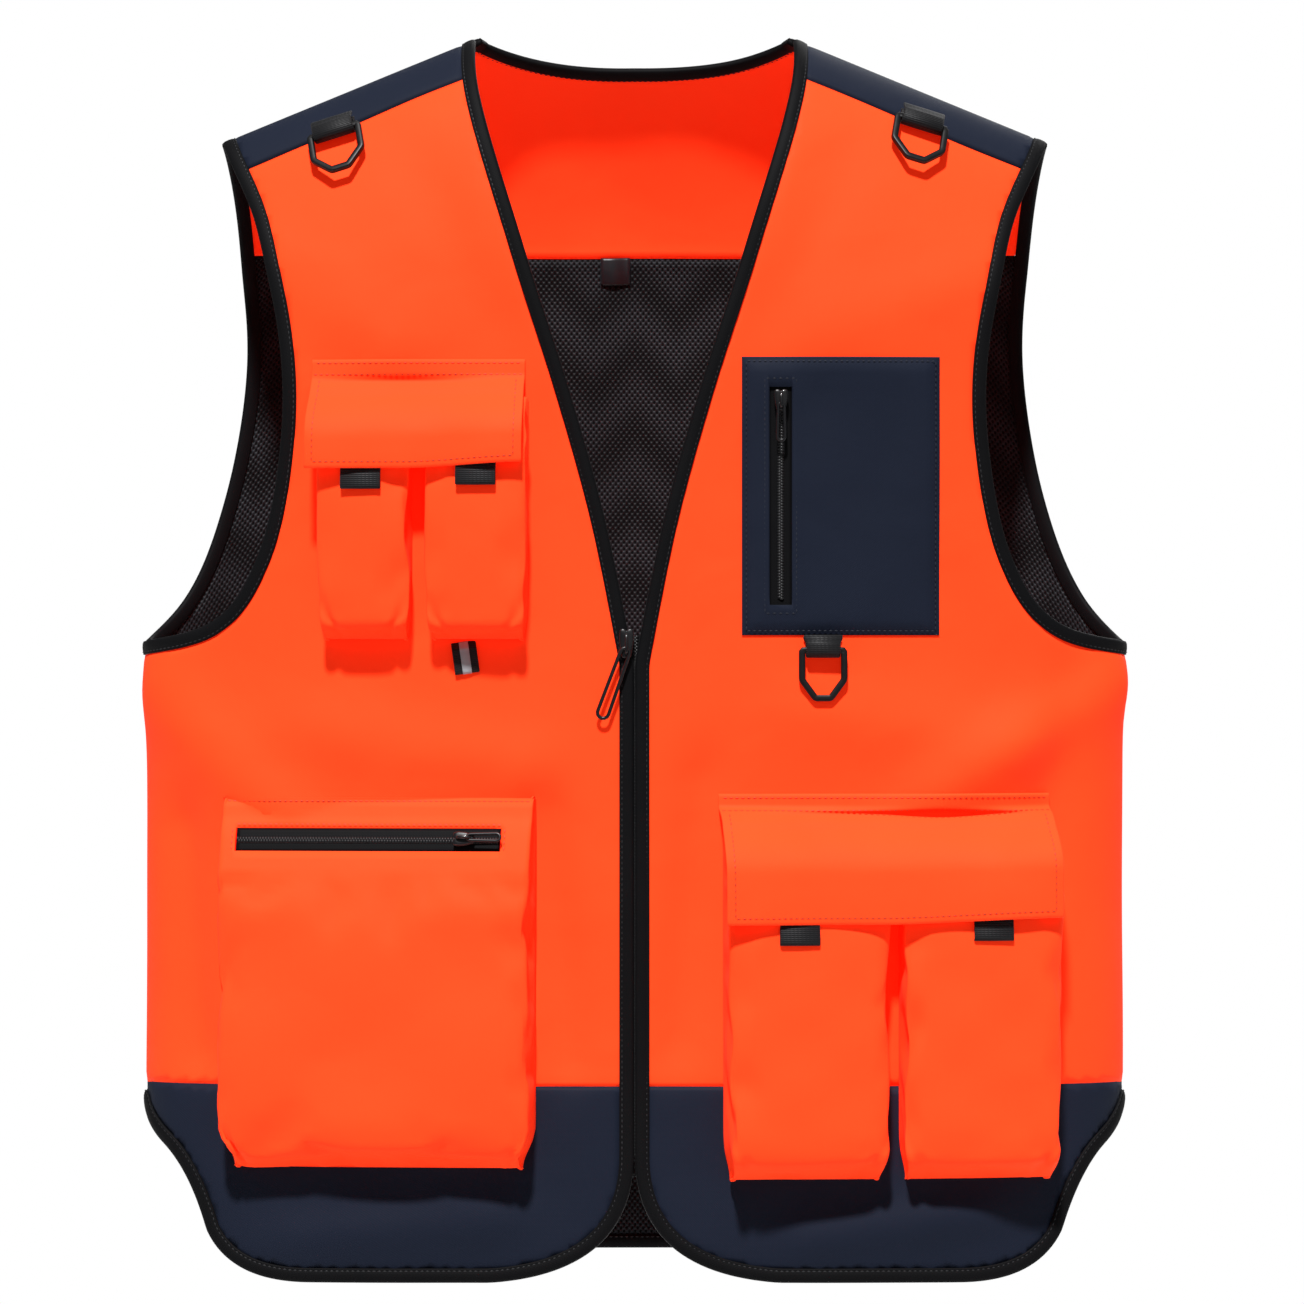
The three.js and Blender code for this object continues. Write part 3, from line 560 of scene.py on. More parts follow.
def new_finish(name):
    """A material, its node tree and its shader, or the finished one with no tree."""
    finish = bpy.data.materials.get(name)
    if finish:
        return finish, None, None
    finish = bpy.data.materials.new(name)
    finish.use_nodes = True
    tree = finish.node_tree
    shader = tree.nodes["Principled BSDF"]
    return finish, tree, shader


def bumps(tree, shader, *layers):
    """Bumps one on another: each is (height, distance in metres, strength)."""
    before = None
    for height, distance, strength in layers:
        bump = add_node(tree, "ShaderNodeBump", {"Height": height, "Distance": distance, "Strength": strength})
        if before is not None:
            tree.links.new(before, bump.inputs["Normal"])
        before = bump.outputs["Normal"]
    tree.links.new(before, shader.inputs["Normal"])


def places(tree):
    thread = add_node(tree, "ShaderNodeUVMap", uv_map=UV).outputs[0]
    place = add_node(tree, "ShaderNodeTexCoord").outputs["Object"]
    return thread, place


def oxford_cloth(name, colour, pitch=1500.0, painted_glow=0.0, gaps=0.82, gloss=0.06, crumple=0.0014):
    """Coated oxford cloth: a fine plain weave with slubs, soft unevenness and a little sheen, with a painted glow
    when one is given.
    """
    finish, tree, shader = new_finish(name)
    if tree is None:
        return finish
    thread, place = places(tree)
    weave = placed(tree, "Woven cloth", thread, pitch)
    soft = placed(tree, "Soft crumple", place, 17.0)
    toned = blended(tree, ranged(tree, soft["Tone"], 0.0, 1.0), shaded(colour, 0.95), shaded(colour, 1.05))
    dyed = blended(tree, maths(tree, "MULTIPLY", weave["Gaps"], 0.8), toned, shaded(colour, gaps))
    tree.links.new(dyed, shader.inputs["Base Color"])
    rough = ranged(tree, weave["Gaps"], 0.62, 0.85)
    tree.links.new(rough, shader.inputs["Roughness"])
    shader.inputs["Specular IOR Level"].default_value = gloss
    shader.inputs["Sheen Weight"].default_value = 0.01
    shader.inputs["Sheen Roughness"].default_value = 0.5
    # painted glow: a constant red emission, standing in for the dye's fluorescence, that keeps the orange's red
    # bright in shade too
    if painted_glow:
        shader.inputs["Emission Color"].default_value = (1.0, 0.008, 0.0, 1.0)
        shader.inputs["Emission Strength"].default_value = painted_glow
    bumps(tree, shader, (soft["Height"], crumple, 1.0), (weave["Height"], 0.00007, 0.8))
    return finish


def orange_cloth():
    return oxford_cloth("Blaze orange oxford", fabric().orange, painted_glow=fabric().painted_glow)


def navy_cloth():
    return oxford_cloth("Navy oxford", fabric().navy, pitch=1400.0, gaps=0.5, gloss=0.08, crumple=0.001)


def black_mesh():
    finish, tree, shader = new_finish("Black knitted mesh")
    if tree is None:
        return finish
    thread, place = places(tree)
    knit = placed(tree, "Knitted mesh", thread, 294.0)
    soft = placed(tree, "Soft crumple", place, 14.0)
    colour = fabric().mesh
    # painted sheen: the threads go from 1.4 to 4.6 times the mesh colour in bands, as if the knit's slant caught the
    # light there
    lit = blended(tree, knit["Sheen bands"], shaded(colour, 1.4), shaded(colour, 4.6))
    toned = blended(tree, ranged(tree, soft["Tone"], 0.3, 1.0), shaded(colour, 1.0), lit)
    # painted shade: the holes are coloured near-black for the dark seen through them, in place of real openings
    dyed = blended(tree, knit["Holes"], toned, (0.001, 0.001, 0.0012, 1.0))
    tree.links.new(dyed, shader.inputs["Base Color"])
    tree.links.new(ranged(tree, knit["Holes"], 0.5, 0.9), shader.inputs["Roughness"])
    shader.inputs["Specular IOR Level"].default_value = 0.1
    shader.inputs["Sheen Weight"].default_value = 0.02
    bumps(tree, shader, (soft["Height"], 0.001, 1.0), (knit["Height"], 0.0005, 0.8))
    return finish


def black_binding():
    return oxford_cloth("Black binding tape", trim().black, pitch=1100.0, gaps=0.45, gloss=0.07, crumple=0.0005)


def black_webbing():
    finish, tree, shader = new_finish("Black webbing")
    if tree is None:
        return finish
    thread, place = places(tree)
    web = placed(tree, "Ribbed webbing", thread, 850.0)
    soft = placed(tree, "Soft crumple", place, 60.0)
    colour = trim().black
    dyed = blended(tree, web["Gaps"], shaded(colour, 1.9), shaded(colour, 0.5))
    worn = blended(tree, ranged(tree, soft["Tone"], 0.0, 0.5), dyed, shaded(colour, 2.6))
    tree.links.new(worn, shader.inputs["Base Color"])
    tree.links.new(ranged(tree, web["Gaps"], 0.45, 0.8), shader.inputs["Roughness"])
    shader.inputs["Specular IOR Level"].default_value = 0.2
    shader.inputs["Sheen Weight"].default_value = 0.05
    bumps(tree, shader, (soft["Height"], 0.0002, 1.0), (web["Height"], 0.00016, 0.9))
    return finish


def smooth_finish(
    name, colour, rough=(0.28, 0.42), metallic=0.0, grain=900.0, depth=0.00004, coat=0.0, gloss=0.3
):
    """Moulded plastic, enamel, film or yarn: a faint grain, and a gloss that varies over it."""
    finish, tree, shader = new_finish(name)
    if tree is None:
        return finish
    place = add_node(tree, "ShaderNodeTexCoord").outputs["Object"]
    fine = add_node(tree, "ShaderNodeTexNoise", {"Vector": place, "Scale": grain, "Detail": 3.0})
    soft = placed(tree, "Soft crumple", place, 160.0)
    toned = blended(tree, soft["Tone"], shaded(colour, 0.75), shaded(colour, 1.3))
    tree.links.new(toned, shader.inputs["Base Color"])
    tree.links.new(ranged(tree, soft["Tone"], *rough), shader.inputs["Roughness"])
    shader.inputs["Metallic"].default_value = metallic
    shader.inputs["Coat Weight"].default_value = coat
    shader.inputs["Specular IOR Level"].default_value = gloss
    bumps(tree, shader, (fine.outputs["Fac"], depth, 0.7))
    return finish


def black_plastic():
    return smooth_finish("Black moulded plastic", (0.0035, 0.0035, 0.004, 1), (0.35, 0.5))


def black_enamel():
    return smooth_finish("Black enamelled metal", (0.006, 0.006, 0.007, 1), (0.25, 0.4), 0.0, coat=0.15)


def zip_coil():
    return smooth_finish("Black nylon coil", (0.011, 0.011, 0.012, 1), (0.3, 0.45))


def orange_thread():
    # drawn at half the orange's brightness: partly the stitches' own darker look, partly painted shade for the dark
    # lines along pocket and flap edges
    return smooth_finish("Orange thread", shaded(fabric().orange, 0.5), (0.5, 0.7), grain=3000.0)


def navy_thread():
    return smooth_finish("Navy thread", shaded(fabric().navy, 0.8), (0.5, 0.7), grain=3000.0)


def black_thread():
    return smooth_finish("Black thread", (0.016, 0.016, 0.018, 1), (0.5, 0.7), grain=3000.0)


def reflective_tape():
    silver = (0.34, 0.35, 0.37, 1)
    return smooth_finish("Silver reflective tape", silver, (0.3, 0.5), 0.1, grain=2400.0, depth=0.00008)


def black_satin():
    return smooth_finish("Black satin label", (0.008, 0.008, 0.01, 1), (0.3, 0.45), grain=1800.0)


def hook_and_loop():
    return smooth_finish("Black hook and loop", (0.013, 0.013, 0.014, 1), (0.7, 0.9), grain=1500.0, depth=0.0006)


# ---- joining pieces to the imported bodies


def named(side):
    return "left" if side > 0 else "right"


def front_body(side):
    return f"{named(side)}_front"


def swing_with(piece):
    """A piece of a front, with its transform baked into its points."""
    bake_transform(piece)


def box_of(node):
    """The corners of a CAD node's box, in millimetres."""
    return [np.array(corner) * 1000 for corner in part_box(node)]


def cloth_area(piece, size):
    """The cloth's own area, no more than that of the flat piece it is cut from."""
    return min(sum(face.area for face in piece.data.polygons), size[0] * size[1])


def cloth_piece(name, edge, finish, pitch, thickness, out=0.0):
    """A cut of cloth on the body, with its edge tucked down into the seams."""
    flat, faces, ring = cut_cloth(edge, pitch)
    points, normal = on_body(flat, out)
    near = np.full(len(flat), np.inf)
    for p in ring:
        near = np.minimum(near, np.hypot(*(flat - p).T))
    points -= normal * (0.7 * np.exp(-((near / 2.5) ** 2)))[:, None]
    piece = new_piece(name, points, faces, finish, thread=flat)
    direct(piece, normal)
    thicken(piece, thickness)
    longest = 0.0
    for run in np.linspace(ring[:, 0].min(), ring[:, 0].max(), 7):
        hung = np.stack([np.full(60, run), np.linspace(ring[:, 1].min(), ring[:, 1].max(), 60)], 1)
        longest = max(longest, np.linalg.norm(np.diff(on_body(hung)[0], axis=0), axis=1).sum())
    size = (float(np.ptp(ring[:, 0])) * 0.001, float(longest) * 0.001)
    return piece, size, cloth_area(piece, size)


def direct(piece, normal):
    """Turns the faces to the side that the normals point to."""
    first = piece.data.polygons[0]
    if np.dot(first.normal, normal[first.vertices[0]]) < 0:
        piece.data.flip_normals()


# ---- what a user would change


class VestClothSettings(bpy.types.PropertyGroup):
    """Cloth colours and weights."""

    orange: bpy.props.FloatVectorProperty(
        name="Blaze orange", description="Colour of the panels and pockets", size=4, subtype="COLOR",
        min=0, max=1, default=(1.0, 0.07, 0.014, 1.0),
    )
    navy: bpy.props.FloatVectorProperty(
        name="Navy", description="Colour of the straps, hems and flat chest pocket", size=4, subtype="COLOR",
        min=0, max=1, default=(0.009, 0.0125, 0.025, 1.0),
    )
    mesh: bpy.props.FloatVectorProperty(
        name="Back mesh", description="Colour of the knitted back", size=4, subtype="COLOR",
        min=0, max=1, default=(0.0046, 0.0052, 0.0062, 1.0),
    )
    # painted glow: strength of a constant red emission on the orange that keeps its red bright in shade, standing in
    # for the dye's fluorescence
    painted_glow: bpy.props.FloatProperty(
        name="Fluorescence and painted glow", description="How strongly the orange dye gives back red light",
        min=0, max=1, default=0.42, subtype="FACTOR",
    )
    thickness: bpy.props.FloatProperty(
        name="Cloth thickness", description="Thickness of one layer", default=0.0013, min=0.0005, max=0.003,
        unit="LENGTH",
    )


class VestTrimSettings(bpy.types.PropertyGroup):
    """Bindings, thread and zips."""

    black: bpy.props.FloatVectorProperty(
        name="Black trim", description="Colour of bindings, webbing and zip tape", size=4, subtype="COLOR",
        min=0, max=1, default=(0.0034, 0.0034, 0.004, 1.0),
    )
    stitch: bpy.props.FloatProperty(
        name="Stitch length", description="Length of one stitch", default=0.0026, min=0.001, max=0.005,
        unit="LENGTH",
    )
    tooth: bpy.props.FloatProperty(
        name="Coil pitch", description="Distance between the turns of a zip's coil", default=0.0017,
        min=0.001, max=0.004, unit="LENGTH",
    )


class VestPocketSettings(bpy.types.PropertyGroup):
    """How the pockets hang."""

    fullness: bpy.props.FloatProperty(
        name="Fullness", description="Air pressure that fills the pouches out as they settle",
        default=1.6, min=0, max=6,
    )
    settle_cap: bpy.props.FloatProperty(
        name="Settling limit", description="The furthest that a point of a pouch may settle",
        default=0.003, min=0, max=0.02, unit="LENGTH",
    )
    tab_width: bpy.props.FloatProperty(
        name="Pull tab width", description="Width of the webbing tabs on the flaps", default=0.024,
        min=0.01, max=0.04, unit="LENGTH",
    )


class VestStageSettings(bpy.types.PropertyGroup):
    """Floor, lights and camera."""

    floor: bpy.props.FloatProperty(
        name="Floor height", description="Height of the floor below the hanger's rest", default=-1.5,
        unit="LENGTH",
    )
    key: bpy.props.FloatProperty(
        name="Key light", description="Strength of the light from above the front", default=5.55, min=0, max=20,
    )
    sky: bpy.props.FloatProperty(
        name="Surrounding light", description="Strength of the light from all round", default=0.16, min=0, max=5,
    )
    lens: bpy.props.FloatProperty(
        name="Lens", description="Focal length of the camera, in millimetres", default=230.0, min=20, max=500,
    )


FRAME_WIDTH = 0.7824  # how much of the vest's plane the camera takes in, in metres


class VEST_OT_stage(bpy.types.Operator):
    """Pale floor, soft studio light and the camera"""

    bl_idname = "vest.stage"
    bl_label = "Stage"

    def execute(self, context):
        scene, stage = context.scene, context.scene.vest_stage
        sides, ends = np.linspace(-4000, 4000, 5), np.linspace(-800, 4800, 5)
        x, y = np.tile(sides, 5), np.repeat(ends, 5)
        pale = smooth_finish("Pale studio floor", (0.9, 0.9, 0.9, 1), (0.8, 0.95), grain=60.0)
        points = np.stack([x, y, np.full(25, stage.floor * 1000)], 1)
        floor = new_piece("studio_floor", points, grid_faces(5, 5), pale)

        sky = bpy.data.worlds.new("Studio")
        sky.use_nodes = True
        tree = sky.node_tree
        lit = tree.nodes["Background"]
        lit.inputs["Color"].default_value = (1, 1, 1, 1)
        lit.inputs["Strength"].default_value = stage.sky
        plain = add_node(tree, "ShaderNodeBackground", {"Color": (1, 1, 1, 1), "Strength": 1.0})
        seen = add_node(tree, "ShaderNodeLightPath").outputs["Is Camera Ray"]
        both = add_node(tree, "ShaderNodeMixShader", {0: seen})
        tree.links.new(lit.outputs[0], both.inputs[1])
        tree.links.new(plain.outputs[0], both.inputs[2])
        tree.links.new(both.outputs[0], tree.nodes["World Output"].inputs["Surface"])
        scene.world = sky
        lights = (
            ("Key", (-0.12, -1.0, 1.5), stage.key, 5.0),
            ("Front fill", (0.3, -1.0, 0.1), 0.12, 40.0),
            ("Back fill", (0.4, 1.0, 0.7), 1.1, 40.0),
        )
        for name, way, strength, spread in lights:
            lamp = bpy.data.lights.new(name, "SUN")
            lamp.energy = strength
            lamp.angle = math.radians(spread)
            light = bpy.data.objects.new(name, lamp)
            light.rotation_euler = Vector(way).to_track_quat("Z", "Y").to_euler()
            light.location = Vector(way) * 3
            scene.collection.objects.link(light)

        lens = bpy.data.cameras.new("Camera")
        lens.sensor_width = 36.0
        lens.lens = stage.lens
        lens.clip_end = 60.0
        camera = bpy.data.objects.new("Camera", lens)
        camera.location = (0.0105, -0.05 - stage.lens * FRAME_WIDTH / lens.sensor_width, -0.372)
        camera.rotation_euler = (math.pi / 2, 0, 0)
        scene.collection.objects.link(camera)
        scene.camera = camera
        scene.view_settings.view_transform = "Standard"
        return {"FINISHED"}


# ---- the fronts

FRONT_SEAM = moved(FRONT_EDGE, SEAM)
ARMHOLE_SEAM = moved(FRONT_ARMHOLE, -SEAM)
BACK_ARMHOLE_SEAM = moved(BACK_ARMHOLE, -SEAM)
BACK_SEAM = moved(BACK_EDGE, SEAM)
NECK_SEAM = moved(BACK_NECK, SEAM)


def on_side(line):
    """The part of a line within the body's half width."""
    return line[line[:, 0] <= HALF_WIDTH]


def front_panel_outline():
    above_hem = (FRONT_SEAM[:, 1] >= HEM_PANEL_Z) & (FRONT_SEAM[:, 0] < 110)
    seam = FRONT_SEAM[(fall(FRONT_SEAM) >= STRAP_FRONT) & above_hem]
    arm = on_side(ARMHOLE_SEAM[fall(ARMHOLE_SEAM) >= STRAP_FRONT])
    return np.concatenate(
        [
            to_cloth(arm),
            row(HALF_WIDTH, seam[-1, 0], HEM_PANEL_Z),
            to_cloth(seam[::-1]),
            strap_row(seam[0, 0], arm[0, 0], STRAP_FRONT),
        ]
    )


def hem_panel_outline():
    seam = on_side(FRONT_SEAM[FRONT_SEAM[:, 1] <= HEM_PANEL_Z])
    return np.concatenate([to_cloth(seam), row(HALF_WIDTH, seam[0, 0], HEM_PANEL_Z)])


class VEST_OT_fronts(bpy.types.Operator):
    """The two orange fronts, each with its navy hem"""

    bl_idname = "vest.fronts"
    bl_label = "Fronts"

    def execute(self, context):
        wall = fabric().thickness * 1000
        for side in (1, -1):
            name = named(side)
            edge = flipped(front_panel_outline(), side)
            panel, flat, area = cloth_piece(f"{name}_front_cloth", edge, orange_cloth(), 4.5, wall)
            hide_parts(f"{name}_front_panel", f"{name}_front_upper")
            swing_with(panel)
            edge = flipped(hem_panel_outline(), side)
            hem, flat, area = cloth_piece(f"{name}_hem_cloth", edge, navy_cloth(), 4.5, wall)
            fit(hem, front_body(side), "navy_cloth", f"{name}_hem_panel")
        return {"FINISHED"}


# ---- the shoulder straps and the back


def strap_seam():
    """Where the strap's inner edge meets the yoke, from the shoulder ridge back."""
    return np.stack([np.full(30, STRAP_INNER), shoulder(STRAP_INNER) - np.linspace(0, STRAP_BACK, 30)], 1)


def strap_outline():
    seam = FRONT_SEAM[(fall(FRONT_SEAM) >= 0) & (fall(FRONT_SEAM) <= STRAP_FRONT) & (FRONT_SEAM[:, 0] > 80)]
    arm = ARMHOLE_SEAM[(fall(ARMHOLE_SEAM) >= 0) & (fall(ARMHOLE_SEAM) <= STRAP_FRONT)]
    behind = BACK_ARMHOLE_SEAM[(fall(BACK_ARMHOLE_SEAM) >= 0) & (fall(BACK_ARMHOLE_SEAM) <= STRAP_BACK)]
    return np.concatenate(
        [
            to_cloth(seam),
            strap_row(seam[-1, 0], arm[-1, 0], STRAP_FRONT),
            to_cloth(arm[::-1]),
            to_cloth(behind, BACK),
            strap_row(behind[-1, 0], STRAP_INNER, STRAP_BACK, BACK),
            to_cloth(strap_seam()[::-1], BACK),
        ]
    )


def yoke_outline():
    arm = BACK_ARMHOLE_SEAM[(fall(BACK_ARMHOLE_SEAM) >= STRAP_BACK) & (BACK_ARMHOLE_SEAM[:, 1] >= YOKE_Z)]
    neck = NECK_SEAM[(fall(NECK_SEAM) >= 0) & (NECK_SEAM[:, 0] >= 0) & (NECK_SEAM[:, 0] <= STRAP_INNER)]
    half = np.concatenate(
        [
            to_cloth(neck[::-1], BACK),
            to_cloth(strap_seam(), BACK),
            strap_row(STRAP_INNER, arm[0, 0], STRAP_BACK, BACK),
            to_cloth(arm, BACK),
            row(arm[-1, 0], 0, YOKE_Z, BACK),
        ]
    )
    return np.concatenate([half, flipped(half, -1)[::-1]])


def back_mesh_outline():
    arm = on_side(BACK_ARMHOLE_SEAM[BACK_ARMHOLE_SEAM[:, 1] <= YOKE_Z])
    hem = on_side(BACK_SEAM[BACK_SEAM[:, 0] >= 0])
    half = np.concatenate([row(0, arm[0, 0], YOKE_Z, BACK), to_cloth(arm, BACK), to_cloth(hem[::-1], BACK)])
    return np.concatenate([half, flipped(half, -1)[::-1]])


class VEST_OT_back(bpy.types.Operator):
    """The orange yoke, the black mesh below it, the neck label and the two shoulder straps"""

    bl_idname = "vest.back"
    bl_label = "Back and straps"

    def execute(self, context):
        wall = fabric().thickness * 1000
        yoke, flat, area = cloth_piece("back_yoke_cloth", yoke_outline(), orange_cloth(), 5.0, wall)
        fit(yoke, "root", "orange_cloth", "back_yoke")
        mesh, flat, area = cloth_piece("back_mesh_cloth", back_mesh_outline(), black_mesh(), 6.5, 1.0)
        fit(mesh, "root", "black_mesh", "back_mesh_panel")
        for side in (1, -1):
            edge = flipped(strap_outline(), side)
            strap, flat, area = cloth_piece(f"{named(side)}_strap_cloth", edge, navy_cloth(), 4.5, wall, 0.4)
            fit(strap, "root", "navy_cloth", f"{named(side)}_shoulder_strap")
        self.make_label()
        return {"FINISHED"}

    def make_label(self):
        """A folded satin label, sewn in below the yoke's seam."""
        rows, columns = 12, 10
        down = np.linspace(-129.5, -146, rows)
        across = np.linspace(-21, -3, columns)
        line = np.array([(x, z) for z in down for x in across])
        cloth = to_cloth(line, BACK)
        turned = np.repeat(np.linspace(0, 1, rows), columns)
        points, normal = on_body(cloth, 0)
        points -= normal * (2.2 + 1.2 * np.sin(turned * math.pi) + 0.6 * np.sin(line[:, 0] * 0.35))[:, None]
        label = new_piece("neck_label_satin", points, grid_faces(rows, columns), black_satin(), thread=cloth)
        thicken(label, 0.9, 0.0)
        fit(label, "root", "black_binding", "neck_label")


# ---- bindings: tape folded over every raw edge

TAPE_SECTION = (
    (-4.3, -0.7), (-4.2, 0.7), (-3.7, 1.25), (-3.0, 1.0), (-2.2, 1.35), (0.0, 1.6), (2.6, 1.5), (3.9, 0.9),
    (4.4, -0.6), (3.9, -2.1), (2.6, -2.8), (0.0, -2.9), (-3.2, -2.6), (-4.1, -2.0),
)


STITCH_INSET = 1.7  # from the tape's inner edge to its stitches
STITCH_STEP = 3.2


def within(line):
    """The part of a line that is on the body."""
    return line[(fall(line) >= 0) & (np.abs(line[:, 0]) <= HALF_WIDTH)]


def tape(line, face, hand, side, mirror):
    """Binding tape along an edge (x, z), and where its stitches go.

    hand is 1 where the cloth lies to the edge's left.
    """
    middle = within(moved(line, hand * BINDING / 2))
    seam = within(moved(line, hand * (BINDING - STITCH_INSET)))
    points, normal = on_body(flipped(spaced(to_cloth(middle, face), 4.0), side))
    band = swept(points, normal, np.array(TAPE_SECTION) * [mirror, 1])
    return band, on_body(flipped(spaced(to_cloth(seam, face), 3.0), side), 1.05)


class VEST_OT_bindings(bpy.types.Operator):
    """Black tape round the neck, the opening, the hems and the armholes"""

    bl_idname = "vest.bindings"
    bl_label = "Bindings"

    def execute(self, context):
        edge = FRONT_EDGE[FRONT_EDGE[:, 1] < 20]
        for side in (1, -1):
            name = named(side)
            self.make(f"{name}_edge_tape", edge, FRONT, 1, side, f"{name}_edge_binding")
            self.make(f"{name}_front_armhole_tape", FRONT_ARMHOLE, FRONT, -1, side, f"{name}_armhole_front_binding")
            self.make(f"{name}_back_armhole_tape", BACK_ARMHOLE, BACK, -1, side, f"{name}_armhole_binding")
        self.make_round("neck_tape", np.concatenate([BACK_NECK, (BACK_NECK * [-1, 1])[::-1][1:]]), "neck_binding")
        hem = BACK_EDGE[BACK_EDGE[:, 0] >= 0]
        self.make_round("back_hem_tape", np.concatenate([(hem * [-1, 1])[::-1], hem[1:]]), "back_hem_binding")
        return {"FINISHED"}

    def make(self, name, line, face, hand, side, node):
        band, (sewn, up) = tape(line, face, hand, side, hand * side * face)
        thread = stitches(sewn, up, STITCH_STEP)
        pieces = [closed_piece(name, band, black_binding())]
        pieces.append(closed_piece(f"{name}_stitches", thread, black_thread()))
        for piece in pieces:
            if face == FRONT:
                swing_with(piece)
            else:
                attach(piece, "root")
        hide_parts(node)

    def make_round(self, name, line, node):
        """A binding that runs from one side of the back to the other, stitched through to the inside."""
        band, (sewn, up) = tape(line, BACK, 1, 1, 1)
        fit(closed_piece(name, band, black_binding()), "root", "black_binding", node)
        through = joined(stitches(sewn, up, STITCH_STEP), stitches(sewn - up * 3.9, -up, STITCH_STEP))
        sewing = new_piece(f"{name}_stitches", *through[:2], black_thread(), through[2])
        fit(sewing, "root", "black_binding")


# ---- zips


def coil(path, normals, pitch, reach):
    """The two interlocked rows of a zip's coil along a path: short turns that meet in the middle."""
    both = spaced(np.concatenate([path, normals * 1e-3], 1), pitch / 2)
    points, faces = [], []
    for i in range(1, len(both) - 1):
        centre, normal = both[i, :3], both[i, 3:] * 1e3
        way = both[i + 1, :3] - both[i - 1, :3]
        way = way / np.linalg.norm(way)
        aside = np.cross(normal, way) * (1 if i % 2 else -1)
        start = len(points)
        for where, tall in ((-0.6, 0.5), (0.35 * reach, 1.0), (reach, 0.35)):
            for along, out in ((-0.42, 0.1), (-0.3, 0.8), (0.3, 0.8), (0.42, 0.1)):
                points.append(centre + aside * where + way * along * pitch + normal * out * tall)
        turn = [*grid_faces(3, 4), (0, 3, 2, 1), (8, 9, 10, 11)]
        faces += [tuple(start + corner for corner in face) for face in turn]
    points = np.array(points)
    return points, faces, points[:, :2]


def flat_section(half, shoulder_at, thick):
    """A flat band's section, thinned at both edges."""
    face = ((-half, 0), (-shoulder_at, thick), (shoulder_at, thick), (half, 0))
    return (*face, (shoulder_at, -thick), (-shoulder_at, -thick))


def ribbon(path, normals, width, thick=0.5):
    """A flat woven tape along a path."""
    return swept(path, normals, flat_section(width / 2, width * 0.3, thick))


def webbing_section(half, edge, thick, crown):
    """Webbing's section, a little thicker in its middle."""
    inner = half - edge
    face = ((-half, 0.0), (-inner, thick), (0, crown), (inner, thick), (half, 0.0))
    return (*face, (inner, -thick), (0, -crown), (-inner, -thick))


def rounded_box(size, radius):
    """A block with rounded edges, its middle at the origin: points and faces."""
    work = bmesh.new()
    bmesh.ops.create_cube(work, size=1.0)
    bmesh.ops.scale(work, vec=Vector(size), verts=work.verts)
    bmesh.ops.bevel(work, geom=work.edges[:], offset=radius, segments=3, affect="EDGES", profile=0.6)
    points = np.array([tuple(v.co) for v in work.verts])
    work.verts.index_update()
    faces = [tuple(v.index for v in face.verts) for face in work.faces]
    work.free()
    return points, faces


def lifted(outline, heights, inset):
    """A plate with a domed top: the outline (x, z) at each height, drawn in by the matching inset."""
    outline = np.asarray(outline, float)
    middle = outline.mean(0)
    points = []
    for height, pull in zip(heights, inset, strict=True):
        ring = middle + (outline - middle) * (1 - pull)
        points.append(np.stack([ring[:, 0], np.full(len(ring), -height), ring[:, 1]], 1))
    points = np.concatenate(points)
    count = len(outline)
    faces = grid_faces(len(heights), count, closed_columns=True)
    faces += [tuple(range(count))[::-1], tuple(range(len(points) - count, len(points)))]
    return points, faces, points[:, [0, 2]]


def arch(z0, z1, out, half, foot):
    """The bridge over a slider that its puller hangs on."""
    t = np.linspace(0, math.pi, 15)
    z = (z0 + z1) / 2 + (z0 - z1) / 2 * np.cos(t)
    path = np.stack([np.zeros(15), -foot - out * np.sin(t) ** 0.6, z], 1)
    section = ((-half, -0.5), (-half * 0.7, 0.5), (half * 0.7, 0.5), (half, -0.5), (0, -0.8))
    return swept(path, np.tile([1.0, 0, 0], (15, 1)), [(b, a) for a, b in section])


def slider_parts(width, tall):
    """A zip slider: two plates joined at the waist, side walls and the bridge; -Y is outward."""
    half, top, foot = width / 2, tall / 2, -tall / 2
    right = np.concatenate(
        [
            bend((0, top * 0.86), (half * 0.4, top * 1.1), (half * 0.92, top * 0.92), 8),
            bend((half, top * 0.6), (half * 1.02, 0), (half * 0.74, foot * 0.6), 8),
            bend((half * 0.68, foot * 0.8), (half * 0.6, foot), (0, foot), 6)[:-1],
        ]
    )
    outline = np.concatenate([right, (right * [-1, 1])[::-1][1:-1]])
    back = lifted(outline, (-0.1, 0.5, 1.1), (0.06, 0.0, 0.05))
    face = lifted(outline, (1.7, 2.3, 2.9, 3.1), (0.05, 0.0, 0.12, 0.4))
    waist = lifted(outline * [0.62, 0.86], (0.6, 2.2), (0.0, 0.0))
    return joined(back, waist, face, arch(top * 0.62, foot * 0.66, 2.6, 0.95, 2.9))


def loop_path(width, tall):
    """A long closed loop hanging from the origin, as (x, z)."""
    half = width / 2
    lower = [(half * math.cos(a), half - tall + half * math.sin(a)) for a in np.linspace(0, -math.pi, 16)]
    upper = [(-half * 0.82, -2.0), (-half * 0.5, 0.0), (half * 0.5, 0.0), (half * 0.82, -2.0)]
    return spaced(np.array(lower + upper), (2 * tall + width) / 56, closed=True)


